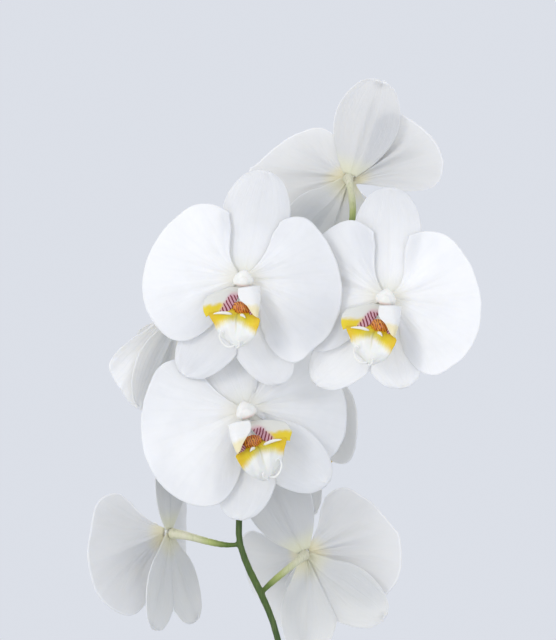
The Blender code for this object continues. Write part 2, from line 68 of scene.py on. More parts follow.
# fold: degrees that a petal swings forwards;  lift: degrees that it turns up in the flower's plane
# spread, size: its fan's angle and its length, as shares of the ordinary petal's
# upper, lower: length of its highest and lowest rays, as a share of the ordinary ones
# crown: degrees that its top edge leans over the top sepal
# reflex: how far the sepals bend back at REFLEX_REACH;  dorsal_tilt: the top sepal's own lean
# lateral_share: length of the left and the right lower sepal, as a share of the ordinary ones
# lip_turn: degrees that the lip turns sideways;  open_lobe: the side lobe that spreads (-1 left)
# lip_drop: how far the lip hangs below its ordinary place, in millimetres
FLOWERS = {
    "flower_1": Flower(1.00, Petal(3, -2, 0.98, 1.00, 1.00, 12),
                       Petal(2, lower=1.22), 0.0035, 4, (1.04, 1.00), -14, -1, 0.8),
    "flower_2": Flower(1.00, Petal(0, -3, 0.98, 1.00, 0.98, 5), Petal(-2, 6, 1.00, 0.95, 1.04, 16, 1.1),
                       0.0045, -15, (1.02, 0.80), -12, -1, 0.8),
    "flower_3": Flower(1.04, Petal(2, -1, 1.00, 1.07), Petal(-21, -3, 1.00, 1.03), 0.0030, 0, (0.95, 0.95),
                       20, 1, 3.4),
    "flower_4": Flower(0.96, Petal(8, 46, 0.62, 1.00), Petal(6, -12, 1.08, 1.07, 0.60),
                       0.0020, 0, (0.87, 0.87)),
    "flower_5": Flower(0.98, Petal(10), Petal(6, -60, 0.42, 1.12), 0.0030, -35, (1.00, 1.00)),
    "flower_6": Flower(0.97, Petal(4, 20, 0.84), Petal(10), 0.0030, 0, (0.90, 0.90), 0, -1, -3.0),
    "flower_7": Flower(0.97, Petal(20), Petal(28, -20, 0.88, 1.04), 0.0030, 0, (0.95, 0.95)),
    "flower_8": Flower(0.98, Petal(8, -14, 0.92, 1.00, 0.90), Petal(44, -18, 0.90),
                       0.0030, 0, (0.95, 0.95)),
}
PAINTED_BRIGHT_FLOWERS = ("flower_5",)       # flowers whose petals and sepals get a brighter copy of the petal colours: painted light, as if lit through
REFLEX_REACH = 0.050
COLUMN_ROOT = 0.0010         # how far the column's back end lies behind the petals' plane

# ------------ petals and sepals
PETAL_SEAT = -0.0008         # the petals' plane, in front of the sepals
SEPAL_SEAT = 0.0009
PETAL_CLAW_START = 0.0024    # distance of the petal's foot from the flower's middle
PETAL_CLAW_HALF = 0.0026
PETAL_LIFT = 0.0005
PETAL_FAN = math.radians(72)
PETAL_NARROW = 0.70          # share of the fan's angle that the rays have at the petal's foot
PETAL_RAYS = (0.0275, 0.0460, 0.0515, 0.0525, 0.0510, 0.0485, 0.0465, 0.0445, 0.0350)
PETAL_ACROSS = 92
PETAL_ALONG = 46
DORSAL_LENGTH = 0.0575
DORSAL_START = 0.0022
DORSAL_HALVES = (0.0038, 0.0112, 0.0162, 0.0186, 0.0182, 0.0146, 0.0076)
LATERAL_LENGTH = 0.0560
LATERAL_START = 0.0052
LATERAL_SPREAD = math.radians(29)
LATERAL_HALVES = (0.0030, 0.0086, 0.0130, 0.0148, 0.0140, 0.0112, 0.0056)
LATERAL_OVERLAP = 0.0006     # how far a lower sepal may cross the middle, over or under its twin
LATERAL_STEP = 0.0006        # how far its inner edge stands before or behind the petals' plane
LATERAL_FULLNESS = 1.22      # width of its inner half, as a share of the outer half
SEPAL_ACROSS = 36
SEPAL_ALONG = 44
PETAL_REFLEX = 0.5           # how far the petals bend back, as a share of the sepals
DORSAL_RELIEF = 0.4          # how strongly the folds show on the top sepal, and on the lower ones
LATERAL_RELIEF = 0.5


# ------------ small sums
def clamp(value, low=0.0, high=1.0):
    return min(max(value, low), high)


def ease(low, high, value):
    """0 below low, 1 above high, and a smooth rise between them."""
    share = clamp((value - low) / (high - low))
    return share * share * (3 - 2 * share)


def bump(middle, width, value):
    """A smooth hump of height 1 at the middle."""
    return math.exp(-((value - middle) / width) ** 2)


def spline_at(knots, share):
    """The point at a share 0..1 of a smooth curve through evenly spaced knots."""
    place = clamp(share) * (len(knots) - 1)
    low = min(int(place), len(knots) - 2)
    rest = place - low
    start, end = knots[low], knots[low + 1]
    before = knots[low - 1] if low > 0 else start * 2 - end
    after = knots[low + 2] if low + 2 < len(knots) else end * 2 - start
    return 0.5 * (
        2 * start
        + (end - before) * rest
        + (2 * before - 5 * start + 4 * end - after) * rest ** 2
        + (3 * start - before - 3 * end + after) * rest ** 3
    )


def rough(x, y, z):
    """Smooth noise from about -1 to 1."""
    return noise.noise(Vector((x, y, z)))


def shares(steps):
    """The places 0..1 at the ends of so many equal steps."""
    return [index / steps for index in range(steps + 1)]


def vectors(*points):
    return [Vector(point) for point in points]


# ------------ meshes
def marked(shape):
    """A bmesh's new layer for the attribute that the materials follow."""
    return shape.verts.layers.float_vector.new("surface")


def placed(shape, matrix):
    """The bmesh, moved by a matrix."""
    bmesh.ops.transform(shape, matrix=matrix, verts=shape.verts)
    return shape


def linked(name, content):
    """A new object in the scene, made of a bmesh, or of a lamp's or a camera's data."""
    if isinstance(content, bmesh.types.BMesh):
        shape, content = content, bpy.data.meshes.new(name)
        shape.to_mesh(content)
        shape.free()
    made = bpy.data.objects.new(name, content)
    bpy.context.scene.collection.objects.link(made)
    return made


def finished(name, shape, material, replaces=()):
    """Turn a bmesh into a smooth piece of the object."""
    piece = linked(name, shape)
    piece.data.shade_smooth()
    piece.data.materials.append(material)
    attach(piece, BODY)
    if replaces:
        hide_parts(*replaces)
    return piece


def shell(across, along, place, thickness, front=Vector((0, -1, 0))):
    """A thin closed bmesh: place(side, out) gives its middle sheet, thickness(side, out) its wall."""
    shape = bmesh.new()
    surface = marked(shape)
    bmesh.ops.create_grid(shape, x_segments=across, y_segments=along, size=1.0)
    for vertex in shape.verts:
        side, out = vertex.co.x, (vertex.co.y + 1) / 2
        vertex[surface] = (side, out, 0.0)
        vertex.co = place(side, out)
    shape.normal_update()
    if sum((face.normal * face.calc_area() for face in shape.faces), Vector()).dot(front) < 0:
        bmesh.ops.reverse_faces(shape, faces=shape.faces)
        shape.normal_update()
    front_verts = list(shape.verts)
    normals = [vertex.normal.copy() for vertex in front_verts]
    copied = bmesh.ops.duplicate(shape, geom=shape.verts[:] + shape.edges[:] + shape.faces[:])
    bmesh.ops.reverse_faces(
        shape, faces=[item for item in copied["geom"] if isinstance(item, bmesh.types.BMFace)])
    for vertex, normal in zip(front_verts, normals):
        twin = copied["vert_map"][vertex]
        side, out, _ = vertex[surface]
        wall = thickness(side, out)
        vertex.co += normal * wall / 2
        twin.co -= normal * wall / 2
        twin[surface] = (side, out, 1.0)
    bmesh.ops.bridge_loops(shape, edges=[edge for edge in shape.edges if edge.is_boundary])
    return shape


def swept(points, radii, sides, flat=1.0):
    """A closed tube along the points, made by drawing a circle out from each to the next."""
    shape = bmesh.new()
    surface = marked(shape)
    ring = bmesh.ops.create_circle(shape, cap_ends=False, radius=1.0, segments=sides)["verts"]
    spokes = [vertex.co.copy() for vertex in ring]
    edges = list(shape.edges)
    turn = Vector((0, 0, 1)).rotation_difference(points[1] - points[0])
    for index, (point, radius) in enumerate(zip(points, radii)):
        if index:
            onward = points[min(index + 1, len(points) - 1)] - points[index - 1]
            turn = (turn @ Vector((0, 0, 1))).rotation_difference(onward) @ turn
            grown = bmesh.ops.extrude_edge_only(shape, edges=edges)["geom"]
            ring = [item for item in grown if isinstance(item, bmesh.types.BMVert)]
            edges = [item for item in grown if isinstance(item, bmesh.types.BMEdge)]
        for vertex, spoke in zip(ring, spokes):
            wide = Vector((spoke.x * radius, spoke.y * radius * flat, 0))
            vertex.co = point + turn @ wide
            vertex[surface] = (0.0, index / (len(points) - 1), 0.0)
    bmesh.ops.holes_fill(shape, edges=[edge for edge in shape.edges if edge.is_boundary], sides=0)
    bmesh.ops.recalc_face_normals(shape, faces=shape.faces)
    return shape


def spun(outline, axis, steps):
    """A closed solid of revolution: an outline's points, turned about an axis."""
    shape = bmesh.new()
    verts = [shape.verts.new(point) for point in outline]
    edges = [shape.edges.new(pair) for pair in zip(verts, verts[1:])]
    bmesh.ops.spin(shape, geom=verts + edges, cent=(0, 0, 0), axis=axis, angle=math.tau,
                   steps=steps, use_merge=True)
    bmesh.ops.remove_doubles(shape, verts=shape.verts, dist=MERGE_GAP)
    bmesh.ops.holes_fill(shape, edges=[edge for edge in shape.edges if edge.is_boundary], sides=0)
    bmesh.ops.recalc_face_normals(shape, faces=shape.faces)
    return shape


def joined(shapes):
    """Several bmeshes as one."""
    whole = bmesh.new()
    for shape in shapes:
        data = bpy.data.meshes.new("part")
        shape.to_mesh(data)
        shape.free()
        whole.from_mesh(data)
        bpy.data.meshes.remove(data)
    return whole


def node_points(name):
    """A CAD node's vertices, as an array."""
    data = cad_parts[name].data
    points = np.empty(len(data.vertices) * 3)
    data.vertices.foreach_get("co", points)
    return points.reshape(-1, 3)


def flower_frame(name):
    """A flower's own frame, as its column's axis and its lip's place give it."""
    column = node_points(name + "_column")
    middle = column.mean(axis=0)
    lip = node_points(name + "_lip").mean(axis=0)
    facing = np.linalg.svd(column - middle, full_matrices=False)[2][0]
    if facing @ (lip - middle) < 0:
        facing = -facing
    back_end = middle + facing * ((column - middle) @ facing).min()
    origin = back_end + facing * COLUMN_ROOT
    down = lip - origin
    down = down - facing * (down @ facing)
    facing, up = Vector(facing), -Vector(down).normalized()
    right = (-facing).cross(up)
    turned = Matrix((right, -facing, up)).transposed().to_4x4()
    return Matrix.Translation(Vector(origin)) @ turned


# ------------ materials
class Value:
    """A shader socket that takes part in sums, as a number does."""

    def __init__(self, finish, socket):
        self.finish = finish
        self.socket = socket

    def math(self, operation, *values):
        return self.finish.node("ShaderNodeMath", {"operation": operation}, dict(enumerate(values)))

    def __add__(self, other):
        return self.math("ADD", self, other)

    __radd__ = __add__

    def __sub__(self, other):
        return self.math("SUBTRACT", self, other)

    def __rsub__(self, other):
        return self.math("SUBTRACT", other, self)

    def __mul__(self, other):
        return self.math("MULTIPLY", self, other)

    __rmul__ = __mul__

    def __pow__(self, other):
        return self.math("POWER", self, other)

    def __abs__(self):
        return self.math("ABSOLUTE", self)

    def sine(self):
        return self.math("SINE", self)

    def ramp(self, low, high):
        """0 below low, 1 above high, smooth between them; falls where low is above high."""
        start, end, first, last = (low, high, 0.0, 1.0) if low < high else (high, low, 1.0, 0.0)
        return self.finish.node(
            "ShaderNodeMapRange", {"interpolation_type": "SMOOTHSTEP"},
            {"Value": self, "From Min": start, "From Max": end, "To Min": first, "To Max": last})


MIX_FIRST, MIX_SECOND, MIX_RESULT = 6, 7, 2  # the colour sockets of a mix node


class Finish:
    """The nodes of one material, from its coordinates to its Principled shader."""

    def __init__(self, name):
        self.material = bpy.data.materials.new(name)
        self.material.use_nodes = True
        self.tree = self.material.node_tree
        self.shader = self.tree.nodes["Principled BSDF"]

    def node(self, kind, settings=None, inputs=None, output=0):
        """A new node with its settings and inputs, as the value of one of its outputs."""
        made = self.tree.nodes.new(kind)
        for name, value in (settings or {}).items():
            if name == "stops":
                self.set_stops(made.color_ramp, value)
            else:
                setattr(made, name, value)
        for name, value in (inputs or {}).items():
            self.feed(made.inputs[name], value)
        return Value(self, made.outputs[output])

    def feed(self, socket, value):
        """Link a value to a socket, or set the socket to a number, a vector or a colour."""
        if isinstance(value, Value):
            self.tree.links.new(value.socket, socket)
        else:
            socket.default_value = (*value, 1.0) if socket.type == "RGBA" else value

    def set_stops(self, ramp, stops):
        for index, (place, color) in enumerate(stops):
            stop = ramp.elements[index] if index < 2 else ramp.elements.new(place)
            stop.position = place
            stop.color = (*color, 1.0)

    def place(self):
        """The place in the object's frame, in metres."""
        return self.node("ShaderNodeTexCoord", output="Object")

    def split(self, vector):
        return [self.node("ShaderNodeSeparateXYZ", inputs={"Vector": vector}, output=axis)
                for axis in "XYZ"]

    def surface(self):
        """The three shares of the "surface" attribute."""
        return self.split(
            self.node("ShaderNodeAttribute", {"attribute_name": "surface"}, output="Vector"))

    def noise(self, vector, scale, detail=3.0, roughness=0.5):
        return self.node(
            "ShaderNodeTexNoise", None,
            {"Vector": vector, "Scale": scale, "Detail": detail, "Roughness": roughness},
            output="Fac")

    def stretched(self, x, y, z, detail=3.0, roughness=0.5):
        """Noise over three values, each scaled by its own amount."""
        vector = self.node("ShaderNodeCombineXYZ", inputs={"X": x, "Y": y, "Z": z})
        return self.noise(vector, 1.0, detail, roughness)

    def cells(self, vector, scale):
        """The distance to the nearest of many scattered points."""
        return self.node("ShaderNodeTexVoronoi", None, {"Vector": vector, "Scale": scale},
                         output="Distance")

    def mix(self, share, first, second):
        """A colour between two others."""
        return self.node(
            "ShaderNodeMix", {"data_type": "RGBA"},
            {"Factor": share, MIX_FIRST: first, MIX_SECOND: second}, output=MIX_RESULT)

    def ramp(self, share, stops):
        """A colour from a scale of (place, colour) stops."""
        return self.node("ShaderNodeValToRGB", {"stops": stops}, {"Fac": share})

    def relief(self, height, distance, strength):
        return self.node("ShaderNodeBump", None,
                         {"Height": height, "Distance": distance, "Strength": strength},
                         output="Normal")

    def done(self, **sockets):
        """Set the shader's sockets, named with _ for a space, and give the material."""
        for name, value in sockets.items():
            title = name.replace("_", " ").title().replace("Ior", "IOR")
            self.feed(self.shader.inputs[title], value)
        return self.material

    def flesh(self, weight, radius, **sockets):
        """The same for tissue that light passes into."""
        return self.done(subsurface_weight=weight, subsurface_radius=radius, subsurface_scale=1.0,
                         **sockets)


def tepal_finish(name, front, back, foot, translucency=0.75, tip_shade=0.0):
    """White flower tissue: fine veins that fan out, a faint sparkle, a green-yellow foot, and a painted
    highlight along its edges.

    front, back, foot: its colours;  tip_shade: how much greyer its outer part is, as painted shade
    """
    finish = Finish(name)
    side, out, face = finish.surface()
    place = finish.place()
    drift = finish.noise(place, 60.0) - 0.5
    streaks = finish.stretched(side * 17.0 + drift * 0.8, out * 1.6, face * 9.0, 4.0)
    fine = finish.stretched(side * 60.0 + drift * 2.0, out * 4.0, face * 5.0, 2.0)
    forks = (side * (34.0 + 10.0 * out) + drift * 2.2).sine()
    veins = (forks * 0.5 + 0.5) ** 6.0
    vein_mask = veins * out.ramp(0.02, 0.15) * out.ramp(1.0, 0.75)
    sparkle = finish.noise(place, 2600.0, 1.0)
    cloud = finish.noise(place, 90.0, 2.0)
    color = finish.mix(cloud.ramp(0.35, 0.75), front, tuple(0.965 * part for part in front))
    color = finish.mix(face, color, back)
    color = finish.mix(vein_mask * (0.05 + 0.10 * face), color, (0.62, 0.66, 0.66))
    color = finish.mix(streaks.ramp(0.55, 0.80) * (0.06 + 0.12 * face), color, (0.70, 0.71, 0.74))
    color = finish.mix(out.ramp(0.24, 0.02) * (0.30 + 0.55 * face), color, foot)
    # painted shade: the outer part greys towards the tip
    color = finish.mix(out.ramp(0.20, 0.80) * tip_shade, color, (0.55, 0.56, 0.58))
    # painted highlight: a lighter thin band along the tip and the side edges stands for their lit rims
    rim = out.ramp(0.965, 0.995) + abs(side).ramp(0.955, 0.995) * out.ramp(0.2, 0.5)
    color = finish.mix(rim * 0.65, color, (0.92, 0.92, 0.92))
    height = streaks * 0.62 + fine * 0.14 + veins * 0.06 + sparkle * 0.05
    return finish.flesh(
        translucency, (0.0016, 0.0015, 0.0013), base_color=color, roughness=0.42 + 0.12 * cloud,
        specular_ior_level=0.35, sheen_weight=0.12, sheen_roughness=0.5,
        normal=finish.relief(height, 0.0005, 0.65))


def lip_finish():
    """Yellow shoulders that fade to a white tip, with a yellow-green middle and red freckles."""
    finish = Finish("lip_midlobe")
    side, out, _ = finish.surface()
    place = finish.place()
    edge = abs(side)
    grain = finish.noise(place, 260.0, 3.0)
    streaks = finish.stretched(side * 22.0, out * 2.0, 0.0, 3.0)
    wander = (grain - 0.5) * 0.10 + (streaks - 0.5) * 0.12
    yellow = (out + wander - 0.27 * edge).ramp(0.42, 0.20)
    white = (0.86, 0.86, 0.82)
    color = finish.mix(yellow, white, (0.78, 0.61, 0.02))
    olive = yellow * (out + wander).ramp(0.10, 0.30) * edge.ramp(0.62, 0.10)
    color = finish.mix(olive * 0.65, color, (0.62, 0.60, 0.10))
    amber = yellow * (edge + wander).ramp(0.55, 0.95)
    color = finish.mix(amber * 0.30, color, (0.72, 0.34, 0.02))
    groove = edge.ramp(0.09, 0.0) * out.ramp(0.80, 0.25)
    color = finish.mix(groove * 0.5, color, (0.40, 0.38, 0.05))
    dots = finish.cells(place, 900.0).ramp(0.36, 0.22) * out.ramp(0.26, 0.06)
    color = finish.mix(dots * 0.8, color, (0.30, 0.02, 0.02))
    rays = streaks * 0.7 + grain * 0.3
    return finish.flesh(
        0.25, (0.0014, 0.0010, 0.0006), base_color=color, roughness=0.36 + 0.15 * grain,
        specular_ior_level=0.4, normal=finish.relief(rays, 0.0004, 0.6))


def lobe_finish():
    """White outside; inside, a yellow front edge and dark red stripes on pink by the throat."""
    finish = Finish("lip_side_lobe")
    side, out, face = finish.surface()
    place = finish.place()
    grain = finish.noise(place, 300.0, 3.0) - 0.5
    across = (side + 1.0) * 0.5
    inner = 1.0 - face
    color = finish.mix(inner, (0.90, 0.90, 0.88), (0.77, 0.775, 0.73))
    band = (across + grain * 0.24 + out * 0.06).ramp(0.54, 0.76) * out.ramp(0.10, 0.40)
    color = finish.mix(band * inner, color, (0.80, 0.62, 0.03))
    color = finish.mix(band * face * 0.55, color, (0.84, 0.68, 0.20))
    blush = (out + grain * 0.12).ramp(0.38, 0.22) * across.ramp(0.12, 0.40)
    color = finish.mix(blush * inner * 0.85, color, (0.68, 0.34, 0.44))
    lines = (((out + across * 0.75) * 66.0 + grain * 3.0).sine() * 0.5 + 0.5) ** 2.0
    stripes = lines * (out + grain * 0.10).ramp(0.34, 0.26) * across.ramp(0.24, 0.40)
    color = finish.mix(stripes.ramp(0.25, 0.60) * inner, color, (0.20, 0.008, 0.03))
    height = finish.stretched(side * 9.0, out * 2.0, face, 3.0)
    return finish.flesh(
        0.30, (0.0014, 0.0012, 0.0010), base_color=color, roughness=0.38, specular_ior_level=0.4,
        normal=finish.relief(height, 0.0005, 0.7))


def callus_finish():
    """Waxy orange with dark red lines and freckles."""
    finish = Finish("lip_callus")
    place = finish.place()
    grain = finish.noise(place, 500.0, 3.0)
    x, _, z = finish.split(place)
    warp = finish.noise(place, 330.0, 2.0)
    squiggles = ((x * 5200.0 + z * 1800.0) + warp * 16.0).sine()
    dark = (squiggles + grain * 0.8).ramp(0.75, 1.15)
    color = finish.mix(grain.ramp(0.3, 0.7), (0.66, 0.19, 0.03), (0.76, 0.33, 0.03))
    color = finish.mix(dark * 0.9, color, (0.22, 0.008, 0.008))
    return finish.flesh(
        0.15, (0.001, 0.0005, 0.0002), base_color=color, roughness=0.28, coat_weight=0.25,
        normal=finish.relief(grain, 0.0003, 0.8))


def column_finish():
    """Smooth waxy white, cream beneath, with a faint pink edge."""
    finish = Finish("column_white")
    place = finish.place()
    grain = finish.noise(place, 420.0, 3.0)
    _, _, under = finish.surface()
    color = finish.mix(grain.ramp(0.3, 0.8), (0.90, 0.89, 0.85), (0.84, 0.84, 0.80))
    color = finish.mix(under.ramp(0.25, 0.9), color, (0.70, 0.62, 0.46))
    pink = under.ramp(0.1, 0.35) * under.ramp(0.75, 0.4) * 0.35
    color = finish.mix(pink, color, (0.80, 0.52, 0.48))
    return finish.flesh(
        0.35, (0.0018, 0.0015, 0.0012), base_color=color, roughness=0.34, coat_weight=0.10,
        normal=finish.relief(grain, 0.0002, 0.5))


def stem_finish():
    """Dark green stalk whose flower stalks pale to yellow-green and cream at the flowers."""
    finish = Finish("stem_green")
    place = finish.place()
    pale, joint, _ = finish.surface()
    x, y, z = finish.split(place)
    ribs = finish.stretched(x * 900.0, y * 900.0, z * 60.0, 3.0)
    mottle = finish.noise(place, 220.0, 3.0)
    color = finish.ramp(pale + (mottle - 0.5) * 0.22, (
        (0.0, (0.032, 0.078, 0.005)), (0.28, (0.110, 0.180, 0.020)),
        (0.60, (0.44, 0.50, 0.17)), (1.0, (0.74, 0.72, 0.54))))
    color = finish.mix(ribs.ramp(0.45, 0.8) * 0.30, color, (0.22, 0.27, 0.07))
    color = finish.mix(joint * 0.5, color, (0.16, 0.17, 0.05))
    return finish.flesh(
        0.08, (0.0008, 0.0012, 0.0004), base_color=color, roughness=0.36 + 0.2 * mottle,
        normal=finish.relief(ribs * 0.7 + mottle * 0.3, 0.0005, 0.7))


def leaf_finish():
    """Thick glossy leaf: fine lines along it, a pale midrib, and a duller underside."""
    finish = Finish("leaf_green")
    side, out, face = finish.surface()
    place = finish.place()
    lines = finish.stretched(side * 40.0, out * 1.5, face, 3.0)
    mottle = finish.noise(place, 45.0, 4.0)
    pores = finish.noise(place, 1500.0, 1.0)
    color = finish.mix(mottle.ramp(0.35, 0.7), (0.028, 0.092, 0.012), (0.050, 0.135, 0.020))
    color = finish.mix(lines.ramp(0.55, 0.8) * 0.35, color, (0.085, 0.180, 0.035))
    color = finish.mix(abs(side).ramp(0.07, 0.0) * 0.7, color, (0.16, 0.27, 0.07))
    color = finish.mix(face * 0.6, color, (0.13, 0.17, 0.07))
    color = finish.mix(abs(side).ramp(0.95, 1.0) * 0.5, color, (0.17, 0.16, 0.05))
    color = finish.mix(out.ramp(0.10, 0.0) * 0.6, color, (0.24, 0.30, 0.12))
    return finish.done(
        base_color=color, roughness=0.27 + 0.16 * mottle + 0.22 * face, coat_weight=0.15,
        specular_ior_level=0.5, normal=finish.relief(lines * 0.8 + pores * 0.2, 0.0004, 0.6))


def root_finish():
    """Silvery, papery root skin with green showing through, and bright green tips."""
    finish = Finish("root_velamen")
    tip, _, _ = finish.surface()
    place = finish.place()
    mottle = finish.noise(place, 180.0, 4.0, 0.6)
    flecks = finish.cells(place, 700.0)
    color = finish.mix(mottle.ramp(0.40, 0.68), (0.50, 0.53, 0.44), (0.24, 0.33, 0.16))
    color = finish.mix(flecks.ramp(0.45, 0.2) * 0.35, color, (0.66, 0.66, 0.60))
    color = finish.mix(tip.ramp(0.55, 1.0), color, (0.16, 0.30, 0.05))
    height = mottle * 0.6 + flecks * 0.4
    return finish.done(
        base_color=color, roughness=0.85 - 0.35 * tip, normal=finish.relief(height, 0.0008, 0.9))


def bark_finish():
    """Broken pine bark: brown, grey and reddish chips with a fibrous grain."""
    finish = Finish("bark_chips")
    place = finish.place()
    shade, grain_turn, _ = finish.surface()
    x, y, z = finish.split(place)
    fibres = finish.stretched(x * 420.0 + grain_turn * 300.0, y * 130.0, z * 260.0, 5.0, 0.65)
    blotch = finish.noise(place, 120.0, 4.0, 0.6)
    color = finish.ramp(shade * 0.55 + fibres * 0.45, (
        (0.0, (0.030, 0.014, 0.008)), (0.35, (0.085, 0.038, 0.018)),
        (0.70, (0.190, 0.090, 0.042)), (1.0, (0.300, 0.190, 0.110))))
    color = finish.mix(blotch.ramp(0.58, 0.78) * 0.45, color, (0.115, 0.100, 0.080))
    return finish.done(
        base_color=color, roughness=0.80 + 0.15 * fibres,
        normal=finish.relief(fibres * 0.7 + blotch * 0.3, 0.0014, 0.9))


def pot_finish():
    """A satin off-white glaze with fine iron specks and faint throwing lines."""
    finish = Finish("pot_glaze")
    place = finish.place()
    x, y, z = finish.split(place)
    cloud = finish.noise(place, 22.0, 4.0)
    specks = finish.cells(place, 420.0)
    speck_mask = specks.ramp(0.13, 0.05) * finish.noise(place, 90.0, 1.0).ramp(0.50, 0.62)
    lines = finish.stretched(x * 3.0, y * 3.0, z * 520.0, 2.0)
    color = finish.mix(cloud.ramp(0.3, 0.7), (0.68, 0.66, 0.61), (0.76, 0.75, 0.72))
    color = finish.mix(speck_mask * 0.75, color, (0.20, 0.12, 0.06))
    foot = (z + (cloud - 0.5) * 0.004).ramp(0.0050, 0.0035)
    color = finish.mix(foot, color, (0.46, 0.32, 0.21))
    return finish.done(
        base_color=color, roughness=0.24 + 0.10 * cloud + 0.50 * foot,
        coat_weight=0.35 - 0.35 * foot, normal=finish.relief(lines * 0.6 + cloud * 0.4, 0.0006, 0.45))


# ------------ petals
def bend_back(flower, right, up):
    """How far behind its foot a sepal stands at a place in the flower's plane."""
    return flower.reflex * (right ** 2 + up ** 2) / REFLEX_REACH ** 2


def petal_relief(side, out, seed):
    """How far a petal's sheet stands forward: two soft lobes, a crease, folds and a rippled edge."""
    swell = math.sin(math.pi * clamp(out * 1.05)) ** 1.3
    crease_line = 0.06 + 0.05 * math.sin(seed)
    crease = bump(crease_line, 0.10 + 0.10 * out, side) * ease(0.02, 0.2, out) * ease(1.0, 0.45, out)
    lobes = bump(-0.50, 0.32, side) + 0.7 * bump(0.62, 0.28, side)
    folds = rough(side * 4.2 + seed, out * 0.9, seed) * ease(0.05, 0.35, out) * ease(1.1, 0.6, out)
    creases = rough(side * 11.0 - seed, out * 0.6, seed + 7.0) * bump(0.30, 0.22, out)
    ripple = rough(side * 3.0 + seed * 2, out * 1.2, 3.0) * ease(0.55, 1.0, out)
    frill = rough(side * 9.0 + seed, 1.0, 5.0) * ease(0.85, 1.0, out)
    return (2.0 * lobes * swell - 1.7 * crease + 1.0 * folds + 0.40 * creases
            + 1.6 * ripple + 0.45 * frill) * MM


def petal_place(flower, petal, hand, seed):
    """A petal's middle sheet: rays that fan out from its foot, bent back, then folded forwards."""
    fold = math.radians(petal.fold)

    def place(side, out):
        corner = abs(side) ** 7
        flare = PETAL_NARROW + (1 - PETAL_NARROW) * out - 0.07 * corner * ease(0.70, 1.0, out)
        lean = petal.lift + petal.crown * max(side, 0.0) ** 3 * ease(0.0, 0.6, out)
        angle = side * PETAL_FAN * petal.spread * flare + math.radians(lean)
        trim = 1 - (1 - petal.upper) * max(side, 0.0) ** 0.6 - (1 - petal.lower) * ease(-0.5, -1.0, side)
        notch = 1 + 0.008 * rough(side * 5.0 + seed, 2.0, 1.0) + 0.004 * rough(side * 16.0, seed, 1.0)
        ray = spline_at(PETAL_RAYS, (side + 1) / 2) * (1 + 0.02 * (1 - corner)) * notch
        reach = ray * flower.size * petal.size * trim
        spread = out ** 0.9
        sideways = reach * math.cos(angle) * spread
        up = PETAL_CLAW_HALF * side * (1 - spread) + reach * math.sin(angle) * spread + PETAL_LIFT
        back = PETAL_REFLEX * bend_back(flower, sideways, up)
        back -= petal_relief(side, out, seed)
        swung = sideways * math.cos(fold) + back * math.sin(fold)
        depth = back * math.cos(fold) - sideways * math.sin(fold)
        return Vector((hand * (PETAL_CLAW_START + swung), PETAL_SEAT + depth, up))

    return place


def petal_wall(side, out):
    """Thickest at the foot and along the middle."""
    thick_middle = 0.35 * bump(0.0, 0.30, side) * ease(1.0, 0.0, out)
    return (0.30 + 0.45 * (1 - out) + thick_middle) * MM


def build_petal(name, flower, world, hand, seed, material):
    petal, side_name = (flower.right, "right") if hand > 0 else (flower.left, "left")
    shape = shell(PETAL_ACROSS, PETAL_ALONG, petal_place(flower, petal, hand, seed), petal_wall)
    finished(f"{name}_broad_petal_{side_name}", placed(shape, world), material,
             [f"{name}_petal_{side_name}"])


# ------------ sepals
def sepal_relief(side, out, seed):
    """A sepal is cupped along its middle, with fine folds and slightly rolled edges."""
    channel = bump(0.0, 0.16, side) * ease(0.0, 0.15, out) * ease(1.0, 0.5, out)
    cheeks = bump(-0.48, 0.28, side) + bump(0.48, 0.28, side)
    folds = rough(side * 3.5 + seed, out * 1.4, seed) * ease(0.05, 0.4, out)
    edge = ease(0.70, 1.0, abs(side)) * ease(0.1, 0.4, out)
    return (-0.6 * channel + 0.6 * cheeks * math.sin(math.pi * out) + 0.5 * folds - 0.8 * edge) * MM


def sepal_wall(side, out):
    """Thicker along the keel, and at the little knob that ends it."""
    keel = 0.55 * bump(0.0, 0.09, side) * ease(1.0, 0.3, out)
    knob = 0.9 * bump(0.0, 0.30, side) * bump(0.965, 0.030, out)
    return (0.32 + 0.40 * (1 - out) + keel + knob) * MM


def rounded_half(halves, out):
    """A sepal's half width, which closes in a round tip."""
    return spline_at(halves, out) * math.sqrt(clamp(1 - ease(0.90, 1.02, out) ** 2))


def build_dorsal_sepal(name, flower, world, seed, material):
    tilt = math.radians(flower.dorsal_tilt)

    def place(side, out):
        half = rounded_half(DORSAL_HALVES, out) * flower.size
        along = DORSAL_START + DORSAL_LENGTH * flower.size * out
        right = side * half * math.cos(tilt) + along * math.sin(tilt)
        up = along * math.cos(tilt) - side * half * math.sin(tilt)
        depth = SEPAL_SEAT + bend_back(flower, right, up) - DORSAL_RELIEF * sepal_relief(side, out, seed)
        return Vector((right, depth, up))

    shape = placed(shell(SEPAL_ACROSS, SEPAL_ALONG, place, sepal_wall), world)
    finished(f"{name}_top_sepal", shape, material, [f"{name}_dorsal_sepal"])


